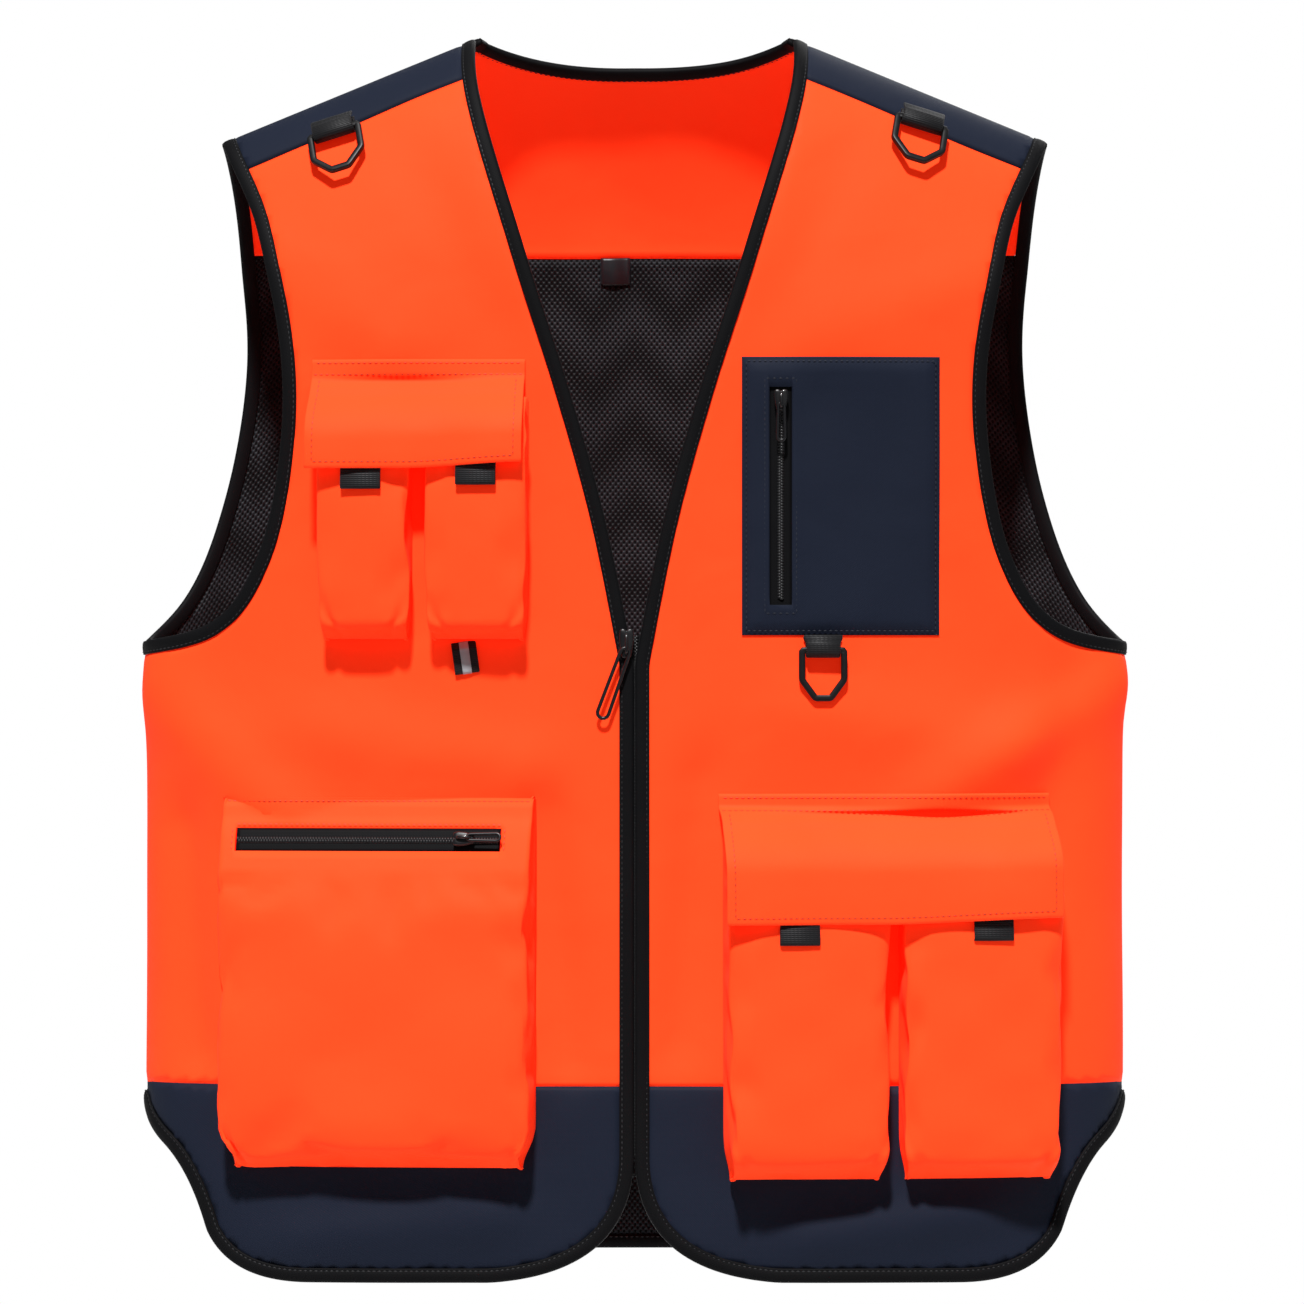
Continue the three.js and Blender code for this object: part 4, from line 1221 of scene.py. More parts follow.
def puller_parts(width, tall, wire):
    """A flattened wire loop, drawn in at the top where it hangs."""
    line = loop_path(width - wire, tall)
    path = np.stack([line[:, 0], np.zeros(len(line)), line[:, 1]], 1)
    turn = np.linspace(0, 2 * math.pi, 10, endpoint=False)
    section = np.stack([np.cos(turn) * wire / 2, np.sin(turn) * wire * 0.42], 1)
    return swept(path, np.tile([0, -1.0, 0], (len(path), 1)), section, closed=True)


def set_in(parts, matrix):
    """The parts moved by a matrix whose lengths are millimetres."""
    return parts[0] @ np.array(matrix.to_3x3()).T + np.array(matrix.translation), *parts[1:]


def hung_frame(position, rotation):
    return Matrix.Translation(Vector(position)) @ rotation.to_4x4()


def add_slider(body, width, tall, matrix):
    piece = closed_piece(f"{body}_metal", set_in(slider_parts(width, tall), matrix)[:2], black_enamel())
    round_edges(piece, 0.25)
    fit(piece, body, "enamelled_metal", body)


def add_puller(body, width, tall, wire, matrix):
    parts = set_in(puller_parts(width, tall, wire), matrix)
    piece = closed_piece(f"{body}_wire", parts[:2], black_enamel())
    fit(piece, body, "enamelled_metal", body)


def add_closure(names, nodes, body, woven, turns):
    """A zip's tape and its coil, in place of their nodes."""
    band = closed_piece(names[0], woven, black_binding())
    teeth = new_piece(names[1], *turns[:2], zip_coil())
    fit(band, body, "zip_tape", *nodes[:1])
    fit(teeth, body, "zip_coil", *nodes[1:])


class VEST_OT_main_zip(bpy.types.Operator):
    """The opening's zip: tapes, coil, slider, puller and the box and pin at its foot"""

    bl_idname = "vest.main_zip"
    bl_label = "Main zip"

    def execute(self, context):
        pitch = trim().tooth * 1000
        top, foot = (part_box("right_zip_half")[i][2] * 1000 for i in (1, 0))
        for side in (1, -1):
            heights = np.linspace(top, foot, 80)
            line = to_cloth(np.stack([np.full(80, 9.0), heights], 1))
            path, normal = on_body(flipped(line, side), -3.4)
            woven = ribbon(path, normal, 15.0)
            middle, up = on_body(flipped(to_cloth(np.stack([np.full(80, 0.9), heights], 1)), side), -3.2)
            turns = coil(middle, up, pitch * 1.2, 1.5)
            name = named(side)
            pieces, nodes = (f"{name}_zip_tape", f"{name}_zip_coil"), (f"{name}_zip_half",)
            add_closure(pieces, nodes, front_body(side), woven, turns)
        for node, side in (("zip_retainer_box", -1), ("zip_insert_pin", 1)):
            low, high = box_of(node)
            points, faces = rounded_box(high - low, 0.6)
            piece = new_piece(f"{node}_moulding", points + (low + high) / 2, faces, black_plastic())
            fit(piece, front_body(side), "black_plastic", node)
        low, high = box_of("main_slider")
        centre = Vector(((low[0] + high[0]) / 2, high[1], (low[2] + high[2]) / 2))
        add_slider("main_slider", 8.8, 18, Matrix.Translation(centre))
        low, high = box_of("main_puller")
        tilt = Matrix.Rotation(math.radians(20), 3, "Y")
        add_puller("main_puller", 9, 44, 2.2, hung_frame((centre.x, (low[1] + high[1]) / 2, -370), tilt))
        return {"FINISHED"}


# ---- pockets: each stands out from a plane turned about Z to follow the body


class PocketPlane:
    """Places a point by its distance along the pocket, out from its plane, and its height."""

    def __init__(self, x0, x1):
        depth = [-HALF_DEPTH * (1 - (abs(x) / HALF_WIDTH) ** SQUARENESS) ** (1 / SQUARENESS) for x in (x0, x1)]
        self.turn = math.atan2(depth[1] - depth[0], x1 - x0)
        self.middle = np.array([(x0 + x1) / 2, sum(depth) / 2])
        self.way = np.array([math.cos(self.turn), math.sin(self.turn)])
        self.out = np.array([math.sin(self.turn), -math.cos(self.turn)])

    def along(self, x):
        return (x - self.middle[0]) / math.cos(self.turn)

    def place(self, along, out, z):
        flat = self.middle + np.multiply.outer(along, self.way) + np.multiply.outer(out, self.out)
        return np.concatenate([flat, np.asarray(z, float)[:, None]], 1)

    def inward(self, point):
        """The distance along the pocket and out from its plane of a point."""
        flat = np.asarray(point, float)[:2] - self.middle
        return float(flat @ self.way), float(flat @ self.out)

    def faced(self, piece, rows, columns):
        """Turns the piece's faces outward, judged by the one in the middle of its grid."""
        if np.dot(piece.data.polygons[rows // 2 * (columns - 1) + columns // 2].normal[:2], self.out) < 0:
            piece.data.flip_normals()

    def normals(self, grid):
        """The outward normals of a grid of points."""
        normal = unit(np.cross(np.gradient(grid, axis=1), np.gradient(grid, axis=0)))
        middle = normal[len(grid) // 2, len(grid[0]) // 2, :2]
        return normal if np.dot(middle, self.out) > 0 else -normal

    def ground(self, along, z):
        """How far out the vest's own cloth stands there."""
        out = np.zeros(len(along))
        for _ in range(4):
            x = self.middle[0] + along * self.way[0] + out * self.out[0]
            cloth = to_cloth(np.stack([x, z], 1))
            y = on_body(cloth)[0][:, 1]
            out = (y - self.middle[1] - along * self.way[1]) / self.out[1]
        return out


def eased(t):
    t = np.clip(t, 0, 1)
    return t * t * (3 - 2 * t)


def even(points, step):
    """A side view (out, z) at even steps."""
    return spaced(np.array(points, float), step)


SETTLING_FRAMES = 16


def settle(piece, held, cap, bending):
    """Lets the piece's cloth settle under a little air pressure, sewn down where held is true."""
    scene = bpy.context.scene
    rest = np.array([v.co for v in piece.data.vertices])
    sewn = piece.vertex_groups.new(name="Sewn down")
    sewn.add(np.flatnonzero(held).tolist(), 1.0, "REPLACE")
    cloth = piece.modifiers.new("Settling", "CLOTH")
    weave = cloth.settings
    weave.quality = 6
    weave.mass = 0.12
    weave.tension_stiffness = 18
    weave.compression_stiffness = 18
    weave.shear_stiffness = 9
    weave.bending_stiffness = bending
    weave.use_pressure = True
    weave.uniform_pressure_force = bpy.context.scene.vest_pockets.fullness
    weave.vertex_group_mass = sewn.name
    weave.effector_weights.gravity = 0
    weave.shrink_min = -0.012
    cloth.collision_settings.use_self_collision = False
    cloth.collision_settings.use_collision = False
    cloth.point_cache.frame_start = 1
    cloth.point_cache.frame_end = SETTLING_FRAMES
    for number in range(1, SETTLING_FRAMES + 1):
        scene.frame_set(number)
    settled = piece.evaluated_get(bpy.context.evaluated_depsgraph_get())
    shape = np.array([v.co for v in settled.data.vertices])
    piece.modifiers.remove(cloth)
    piece.vertex_groups.remove(sewn)
    scene.frame_set(1)
    move = shape - rest
    far = np.linalg.norm(move, axis=1, keepdims=True)
    move *= np.minimum(1, cap / np.maximum(far, 1e-9))
    piece.data.vertices.foreach_set("co", (rest + move).astype(np.float32).ravel())
    piece.data.update()


def gusset(bulge, corner, reach, steps):
    """A bellows wall up to a pocket's front: (distance from its end, share of its depth)."""
    wall = [(bulge * math.sin(math.pi * f) ** 1.5, f) for f in np.linspace(0, reach - 0.02, steps)]
    turn = np.linspace(0.15, 1, 4) * math.pi / 2
    return wall + [(corner * (1 - math.cos(a)), reach + (1 - reach) * math.sin(a)) for a in turn]


def across_pocket(wall, middle, width):
    """Across a pocket: one wall, the places given along its front, and the other wall."""
    return np.array(wall + [(place, 1.0) for place in middle] + [(width - a, f) for a, f in reversed(wall)])


def tuck(along, above, width, size):
    """The folded corner of a pouch's foot: how far a crease draws in the cloth there."""
    from_corner = np.minimum(along, width - along)
    reach = np.array([size * 0.62, -size])
    length = np.hypot(*reach)
    way = reach / length
    t = (from_corner * way[0] + (above - size) * way[1]) / length
    aside = from_corner * -way[1] + (above - size) * way[0]
    return np.exp(-((aside / 1.7) ** 2)) * eased(1 - np.abs(t - 0.5) * 1.6)


def bellows(name, plane, left, view, columns, foot, swell, deep, flat_above=math.inf, **left_out):
    """A pocket's cloth: its side view (out, z) carried across, drawn in and tucked at its foot.

    foot is the height over which it is drawn in, and that of the crease at its corners.
    """
    rows, count, width = len(view), len(columns), columns[-1, 0]
    out, z = np.repeat(view[:, 0], count), np.repeat(view[:, 1], count)
    along, share = np.tile(columns[:, 0], rows), np.tile(columns[:, 1], rows)
    above = z - view[:, 1].min()
    drawn = np.where(z > flat_above, 0, 0.04 * width * (1 - eased(above / foot[0])) ** 1.4)
    along = drawn + along * (1 - 2 * drawn / width)
    crown = np.sin(math.pi * np.clip(along / width, 0, 1))
    belly = out + swell(along, z, crown) * eased(above / 14)
    belly -= 3.0 * tuck(along, above, width, foot[1]) * (share > 0.85)
    ground = plane.ground(left + along, z) + 0.4
    depth = ground * (1 - share) + np.maximum(belly, ground) * share
    points = plane.place(left + along, depth, z)
    down, cross = run_along(view), run_along(columns * [1, deep])
    thread = np.stack([np.tile(cross, rows), np.repeat(down, count)], 1)
    piece = new_piece(name, points, grid_faces(rows, count, **left_out), orange_cloth(), thread)
    plane.faced(piece, rows, count)
    held = np.zeros((rows, count), bool)
    held[:, [0, 1, -2, -1]] = held[-2:] = True
    return piece, points.reshape(rows, count, 3), held, (float(cross[-1]) * 0.001, float(down[-1]) * 0.001)


def pouch_view(mouth, bottom, depth, hinge, foot):
    """The side view of a pouch from its mouth to its foot."""
    return np.concatenate(
        [
            even([(hinge + 4.5, mouth), (depth * 0.8, mouth - 14), (depth, mouth - 32)], 6.0),
            even([(depth, mouth - 36), (depth + 0.8, (mouth + bottom) / 2), (depth, bottom + foot)], 6.5)[1:],
            bend((depth, bottom + foot - 2), (depth, bottom + foot * 0.62), (depth * 0.9, bottom + foot * 0.5), 5),
            even([(depth * 0.84, bottom + foot * 0.4), (depth * 0.42, bottom + 1.2), (2.0, bottom + 0.6)], 3.0),
        ]
    )


def flap_wave(name, share):
    """How far a flap's hanging edge waves out, at each share of its width."""
    return 1.3 * np.sin(share * 7.3 + (0.6 if name == "chest" else 2.2)) + 0.7 * np.sin(share * 17)


def flap_rise(share):
    """How much of its slant a flap's edge has at each share of its width."""
    return eased((share - 0.45) / 0.55)


POCKETS = {
    "chest": {
        "body": "right_front", "flap_body": "chest_flap", "plane": (-194, -67), "flap": (-192.5, -65),
        "seam": -197, "fold": -208, "mouth": -220, "depth": 22, "hinge": 6, "foot": 15,
        "pouches": {"outer": (-186.5, -131.8), "inner": (-122.3, -62.8)}, "slack": (0.3, 1.4),
    },
    "cargo": {
        "body": "left_front", "flap_body": "cargo_flap", "plane": (54, 254), "flap": (50, 249),
        "seam": -456, "fold": -466, "mouth": -480, "depth": 31, "hinge": 13, "foot": 19,
        "pouches": {"inner": (52.5, 148), "outer": (156, 251)}, "slack": (2.1, 0.9),
    },
}


class VEST_OT_flap_pockets(bpy.types.Operator):
    """The two flap pockets: facing and flap in one cut, pouches, tabs, hook and loop"""

    bl_idname = "vest.flap_pockets"
    bl_label = "Flap pockets"

    def execute(self, context):
        for name, pocket in POCKETS.items():
            plane = PocketPlane(*pocket["plane"])
            self.make_flap(name, pocket, plane)
            for where, slack in zip(pocket["pouches"], pocket["slack"], strict=True):
                self.make_pouch(name, where, slack, pocket, plane)
                self.make_tab(name, where, pocket, plane)
            self.make_fastening(name, pocket, plane)
        return {"FINISHED"}

    def make_flap(self, name, pocket, plane):
        """The facing and the flap: sewn down above the fold, sloping out and hanging below it."""
        low = box_of(f"{name}_flap")[0][2]
        seam, fold, hinge, depth = pocket["seam"], pocket["fold"], pocket["hinge"], pocket["depth"]
        side_view = np.concatenate(
            [
                even([(0.2, seam), (1.7, seam - 1.2), (1.9, seam - 5), (2.2, fold + 1.5)], 1.8),
                bend((hinge * 0.5, fold - 0.5), (hinge * 0.8, fold - 2), (hinge + 4.5, fold - 8), 6),
                bend((hinge + 6.5, fold - 11), (depth + 6.2, fold - 25), (depth + 7.6, fold - 36), 8),
                even([(depth + 7.8, fold - 39), (depth + 8.4, (fold - 39 + low) / 2), (depth + 8.4, low)], 4.0),
            ]
        )
        left, right = (plane.along(x) for x in pocket["flap"])
        width, hem = right - left, np.array([0, 0.8, 2.5])
        steps = np.concatenate([hem, np.linspace(5, width - 5, 34), (width - hem)[::-1]])
        rows, count = len(side_view), len(steps)
        out, z = np.repeat(side_view[:, 0], count), np.repeat(side_view[:, 1], count)
        share = np.tile(steps / width, rows)
        spread, hanging = 2.4 * eased((fold - z) / 30), eased((fold - z) / (fold - low))
        along = left + (width + spread) * share - spread / 2
        z = z + 3.6 * hanging * flap_rise(share)
        edge = np.minimum(share, 1 - share) * width
        out = out + hanging * (flap_wave(name, share) - 0.9 * np.exp(-edge / 3.0))
        sewn = eased((z - fold + 3) / 4)
        out = np.where(z > fold - 4, sewn * (plane.ground(along, z) + 0.4) + out, out)
        points, down = plane.place(along, out, z), run_along(side_view)
        thread = np.stack([along - left, np.repeat(down, count)], 1)
        piece = new_piece(f"{name}_flap_cloth", points, grid_faces(rows, count), orange_cloth(), thread)
        plane.faced(piece, rows, count)
        grid = points.reshape(rows, count, 3)
        normal = plane.normals(grid)
        seams = (np.s_[2, 2:-2], np.s_[6, 1:-1], np.s_[8:-1, 3], np.s_[8:-1, -4], np.s_[-2, 3:-3])
        sewn = joined(*(stitches(grid[at] + normal[at] * 0.15, normal[at]) for at in seams))
        sewing = new_piece(f"{name}_flap_stitches", *sewn[:2], orange_thread())
        thicken(piece, 1.9)
        make_finer(piece)
        for part in (piece, sewing):
            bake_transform(part)
        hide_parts(f"{name}_flap", f"{name}_facing")

    def make_pouch(self, name, where, seed, pocket, plane):
        low = box_of(f"{name}_pouch_{where}")[0][2]
        view = pouch_view(pocket["mouth"], low, pocket["depth"] - 0.6, pocket["hinge"], pocket["foot"])
        left, right = (plane.along(x) for x in pocket["pouches"][where])
        width, corner = right - left, 4.0
        front = np.linspace(corner, width - corner, 22)[1:-1]
        columns = across_pocket(gusset(2.6, corner, 0.88, 7), front, width)

        def swell(along, z, crown):
            wobble = np.sin(z * 0.11 + seed) * np.sin(along * 0.09 + 2 * seed)
            return (2.0 * crown + 0.5 * wobble) * eased((view[0, 1] - z - 20) / 50)

        foot = pocket["foot"] + 9
        label = f"{name}_pouch_{where}"
        laid = (plane, left, view, columns, (foot, foot), swell, 25)
        piece, _, held, size = bellows(f"{label}_cloth", *laid)
        held[0] = True
        settle(piece, held, bpy.context.scene.vest_pockets.settle_cap, 1.2)
        thicken(piece, 1.2)
        make_finer(piece)
        fit(piece, pocket["body"], "orange_cloth", label)

    def make_tab(self, name, where, pocket, plane):
        """A webbing tab folded under the flap's edge."""
        label = f"{name}_flap_tab_{where}"
        low, high = box_of(label)
        along, out = plane.inward((low + high) / 2)
        along -= out * math.tan(plane.turn)
        left, right = (plane.along(x) for x in pocket["flap"])
        rise = 3.4 * flap_rise((along - left) / (right - left))
        top, foot = high[2] + 8 + rise, low[2] + 1.0 + rise
        turn = np.linspace(0, math.pi, 9)
        view = [(out - 2.4, top), (out - 2.0, top - 7), (out - 0.8, foot + 7), (out - 0.3, foot + 3)]
        view += [(out - 1.4 + 1.1 * math.cos(a), foot + 1.1 - 1.1 * math.sin(a)) for a in turn]
        view = even([*view, (out - 2.6, foot + 7), (out - 3.6, top - 7), (out - 3.6, top)], 0.9)
        path = plane.place(np.full(len(view), along), view[:, 0], view[:, 1])
        normal = unit(np.cross(np.append(plane.way, 0.0), np.gradient(path, axis=0)))
        half = bpy.context.scene.vest_pockets.tab_width * 500
        band = swept(path, normal, webbing_section(half, 0.5, 0.42, 0.5))
        piece = closed_piece(f"{label}_webbing", band, black_webbing())
        fit(piece, pocket["flap_body"], "black_webbing", label)

    def make_fastening(self, name, pocket, plane):
        """The hook strip inside the flap and the loop patches on the pouches."""
        parts = {f"{name}_hook_strip": pocket["flap_body"]}
        parts |= {f"{name}_loop_patch_{where}": pocket["body"] for where in pocket["pouches"]}
        for node, body in parts.items():
            low, high = box_of(node)
            along, out = plane.inward((low + high) / 2)
            half = (high[0] - low[0]) / 2 / math.cos(plane.turn)
            columns = np.linspace(along - half + 0.4, along + half - 0.4, max(8, int(half / 1.5)))
            a, z = np.tile(columns, 10), np.repeat(np.linspace(high[2], low[2], 10), len(columns))
            nap = 0.18 * np.sin(a * 2.9) * np.sin(z * 3.7)
            if node.endswith("hook_strip"):
                left, right = (plane.along(x) for x in pocket["flap"])
                hanging = eased((pocket["fold"] - z) / (pocket["fold"] - box_of(f"{name}_flap")[0][2]))
                wave = hanging * flap_wave(name, (a - left) / (right - left))
                nap = nap + pocket["depth"] + 5.8 - out + wave
            points, thread = plane.place(a, out + nap, z), np.stack([a, z], 1)
            patch = new_piece(f"{node}_tape", points, grid_faces(10, len(columns)), hook_and_loop(), thread)
            thicken(patch, 1.0, 0.0)
            fit(patch, body, "black_webbing", node)


BAG = {"plane": (-249, -63), "ends": (-244.6, -58.8), "slot": (-235.2, -76.3), "top": -459.0, "knee": -503.0}
BAG_DEPTH = 27.0
BAG_LEAN = math.atan2(16.0, 44.0)  # how far the zip's strip leans back from upright


class VEST_OT_zip_pocket(bpy.types.Operator):
    """The large bellows pocket with its level zip"""

    bl_idname = "vest.zip_pocket"
    bl_label = "Zip pocket"

    def execute(self, context):
        plane = PocketPlane(*BAG["plane"])
        slot = [plane.along(x) for x in BAG["slot"]]
        zip_z = [corner[2] for corner in box_of("zip_pocket_tape")]
        away = np.append(plane.out * math.cos(BAG_LEAN), math.sin(BAG_LEAN))
        self.make_bag(plane, slot, zip_z)
        self.make_zip(plane, slot, sum(zip_z) / 2, away)
        self.make_slider(plane, away)
        return {"FINISHED"}

    def side_view(self, zip_z):
        """From the sewn top out over the leaning zip to the knee, then down and under."""
        top, knee, depth = BAG["top"], BAG["knee"], BAG_DEPTH
        bottom, (z_low, z_high) = box_of("zip_pocket_bag")[0][2] + 3.0, zip_z
        return np.concatenate(
            [
                even([(0.6, top), (5.0, top - 0.3), (9.2, top - 3.0), (10.6, top - 6)], 2.5),
                even([(11.5, top - 10), (16.2, z_high)], 4.0)[:-1],
                [(16.6, z_high), (19.5, (z_low + z_high) / 2), (22.3, z_low)],
                even([(24.0, z_low - 5), (depth, knee), (depth + 1.0, knee - 20)], 4.5),
                even([(depth + 1.2, knee - 26), (depth + 1.4, (knee + bottom) / 2), (depth + 0.4, bottom + 24)], 7.0),
                bend((depth, bottom + 18), (depth, bottom + 12), (depth * 0.9, bottom + 9), 5),
                even([(depth * 0.84, bottom + 7), (depth * 0.42, bottom + 1.2), (2.0, bottom + 0.6)], 3.0),
            ]
        )

    def make_bag(self, plane, slot, zip_z):
        """The bag's cloth, with a slot left out of its front, and its stitches."""
        knee, view = BAG["knee"], self.side_view(zip_z)
        left, right = (plane.along(x) for x in BAG["ends"])
        width, start, end, corner = right - left, slot[0] - left, slot[1] - left, 3.5
        wall = gusset(1.5, corner, 0.9, 8)
        front = [corner + (start - corner) * t for t in (0.35, 0.7)]
        first = len(wall) + len(front)
        last = first + 39
        front += np.linspace(start, end, 40).tolist()
        front += [end + (width - corner - end) * t for t in (0.25, 0.5, 0.75)]
        columns = across_pocket(wall, front, width)
        between = (view[1:, 1] + view[:-1, 1]) / 2
        in_slot = (zip_z[0] + 0.1 < between) & (between < zip_z[1] - 0.1)

        def swell(along, z, crown):
            wobble = np.sin(z * 0.06 + 0.5) * np.sin(along * 0.045 + 0.8)
            return (2.4 * crown + 1.2 * wobble) * eased((knee - z) / 26)

        piece, grid, held, size = bellows(
            "zip_pocket_cloth", plane, left, view, columns, (28, 26), swell, BAG_DEPTH, knee + 4,
            skip=lambda r, c: in_slot[r] and first <= c < last,
        )
        held[view[:, 1] > knee - 3] = True
        settle(piece, held, bpy.context.scene.vest_pockets.settle_cap * 1.3, 2.0)
        thicken(piece, 1.2)
        fit(piece, "right_front", "orange_cloth", "zip_pocket_bag")

        normal = plane.normals(grid)
        high_row, low_row = (int(np.argmax(view[:, 1] <= z + 0.05)) for z in (zip_z[1], zip_z[0]))
        span, ends = slice(first, last + 1), slice(high_row, low_row + 1)
        up, across = np.array([0, 0, 2.0]), np.append(plane.way, 0) * 2.0
        seams = (
            ((high_row, span), up),
            ((low_row, span), -up),
            ((ends, first), -across),
            ((ends, last), across),
            ((3, slice(10, -10)), 0),
        )
        sewn = joined(*(stitches(grid[a] + by + normal[a] * 0.25, normal[a], STITCH_STEP) for a, by in seams))
        fit(new_piece("zip_pocket_stitches", *sewn[:2], orange_thread()), "right_front", "orange_cloth")

    def make_zip(self, plane, slot, middle, away):
        out = 11 + (BAG["top"] - middle) * math.tan(BAG_LEAN)
        along = np.linspace(slot[0] + 0.5, slot[1] - 0.5, 60)
        path = plane.place(along, np.full(60, out), np.full(60, middle))
        normal = np.tile(away, (60, 1))
        woven = ribbon(path - normal * 1.6, normal, 17.5)
        turns = coil(path - normal * 1.1, normal, trim().tooth * 1000, 2.0)
        pieces = ("zip_pocket_woven_tape", "zip_pocket_coil")
        add_closure(pieces, ("zip_pocket_tape", "zip_pocket_chain"), "right_front", woven, turns)

    def make_slider(self, plane, away):
        upright = Matrix.Rotation(plane.turn, 3, "Z") @ Matrix.Rotation(-BAG_LEAN, 3, "X")
        turned = upright @ Matrix.Rotation(-math.pi / 2, 3, "Y")
        low, high = box_of("zip_pocket_slider")
        add_slider("zip_pocket_slider", 8.5, 13, hung_frame((low + high) / 2 - away * 2.2, turned))
        low, high = box_of("zip_pocket_puller")
        hang = (low + high) / 2 - np.array(turned @ Vector((0, 0, -9.3)))
        add_puller("zip_pocket_puller", 6.4, 20, 1.9, hung_frame(hang, turned))


PATCH = (64.0, 182.0, -362.0, -196.0)  # the flat pocket: its sides, its foot and its top
PATCH_ZIP = (87.0, -344.0, -214.0)  # its zip's middle line: x, foot and top
PATCH_TURN = math.atan2(0.04725, 0.99888)  # the body's turn where that zip lies


def round_box(x0, x1, low, high):
    """The four sides of a box, each as (start, end), clockwise from its top left."""
    corners = [(x0, high), (x1, high), (x1, low), (x0, low)]
    return zip(corners, corners[1:] + corners[:1], strict=True)


class VEST_OT_breast_pocket(bpy.types.Operator):
    """The flat navy pocket on the left chest, with its upright zip"""

    bl_idname = "vest.breast_pocket"
    bl_label = "Breast pocket"

    def execute(self, context):
        self.make_patch()
        self.sew()
        self.make_zip()
        self.make_slider()
        return {"FINISHED"}

    def make_patch(self):
        """The patch, with a slot left out for the zip and a low welt round it."""
        x0, x1, bottom, top = PATCH
        zip_x, slot_low, slot_high = PATCH_ZIP
        half, edge = 6.6, np.array([0, 0.7, 2.2, 5])
        beside_zip = np.linspace(x0 + 9, zip_x - half - 1.2, 4)
        rest = np.linspace(zip_x + half + 1.2, x1 - 5, 20)
        zip_sides = [zip_x - half, zip_x + half]
        xs = np.concatenate([x0 + edge, beside_zip, zip_sides, rest, (x1 - edge[:3])[::-1]])
        slot_rows = np.linspace(slot_high, slot_low, 26)
        foot = bottom + np.array([14, 9, 5, 2.2, 0.7, 0])
        zs = np.concatenate([top - edge, [top - 10], slot_rows, foot])
        rows, count = len(zs), len(xs)
        x, z = np.tile(xs, rows), np.repeat(zs, count)
        inner = np.minimum.reduce([x - x0, x1 - x, top - z, z - bottom])
        beside = np.abs(np.abs(x - zip_x) - 7.8)
        within_slot = (z < slot_high + 4) & (z > slot_low - 4)
        wave = 0.7 * np.sin(x * 0.06 + 1) * np.sin(z * 0.045)
        rise = 1.0 + 2.4 * eased(inner / 7) + wave * eased(inner / 30)
        rise += np.where(within_slot, 0.7 * np.exp(-((beside / 1.6) ** 2)), 0)
        flat = to_cloth(np.stack([x, z], 1))
        points, normal = on_body(flat, rise)
        between = (zs[1:] + zs[:-1]) / 2
        gap = (slot_low <= between) & (between <= slot_high)
        first = int(np.argmin(np.abs(xs - (zip_x - half))))
        faces = grid_faces(rows, count, skip=lambda r, c: gap[r] and c == first)
        piece = new_piece("breast_pocket_cloth", points, faces, navy_cloth(), flat)
        direct(piece, normal)
        thicken(piece, 1.2)
        fit(piece, "left_front", "navy_cloth", "breast_pocket")

    def line(self, start, end, out):
        return on_body(to_cloth(spaced(np.array([start, end], float), 3.0)), out)

    def sew(self):
        """Stitches just inside the patch's edge and round its zip."""
        x0, x1, bottom, top = PATCH
        zip_x, slot_low, slot_high = PATCH_ZIP
        near = 2.6
        edge = round_box(x0 + near, x1 - near, bottom + near, top - near)
        lines = [self.line(a, b, 2.35) for a, b in edge]
        around_zip = round_box(zip_x - 9.4, zip_x + 9.4, slot_low - 5, slot_high + 5)
        lines += [self.line(a, b, 3.6) for a, b in around_zip]
        sewn = joined(*(stitches(p, n, STITCH_STEP) for p, n in lines))
        fit(new_piece("breast_pocket_stitches", *sewn[:2], navy_thread()), "left_front", "navy_cloth")

    def make_zip(self):
        zip_x, slot_low, slot_high = PATCH_ZIP
        path, normal = self.line((zip_x, slot_high + 3), (zip_x, slot_low - 3), 1.9)
        woven = ribbon(path, normal, 16.0, 0.35)
        turns = coil((path + normal * 0.8)[2:-2], normal[2:-2], trim().tooth * 1000, 1.9)
        pieces = ("breast_zip_woven_tape", "breast_zip_coil")
        add_closure(pieces, ("breast_zip_tape", "breast_zip_chain"), "left_front", woven, turns)

    def make_slider(self):
        upright = Matrix.Rotation(PATCH_TURN, 3, "Z")
        out = np.array([math.sin(PATCH_TURN), -math.cos(PATCH_TURN), 0])
        low, high = box_of("breast_slider")
        add_slider("breast_slider", 8.5, 13, hung_frame((low + high) / 2 - out * 2.4, upright))
        low, high = box_of("breast_puller")
        hang = (low + high) / 2
        hang[2] = high[2] - 0.7
        add_puller("breast_puller", 6.4, 22, 1.9, hung_frame(hang, upright))


# ---- rings

RING_BAR = 3.8
RING_LIFT = 5.5  # from the cloth to the middle of a ring's bar


def ring_frame(x, z, lean):
    """Where a ring hangs: its place, and the axes across, inward and up."""
    place = bare(to_cloth(np.array([[x, z]])))[0]
    around = bare(to_cloth(np.array([[x + 1.0, z], [x - 1.0, z], [x, z + 1.0], [x, z - 1.0]])))
    side, up = unit(around[0] - around[1]), unit(around[2] - around[3])
    normal = unit(np.cross(side, up))
    across = np.array(Matrix.Rotation(lean, 3, Vector(normal)) @ Vector(side))
    basis = Matrix((across, -normal, np.cross(normal, across))).transposed()
    return hung_frame(place + normal * RING_LIFT, basis)


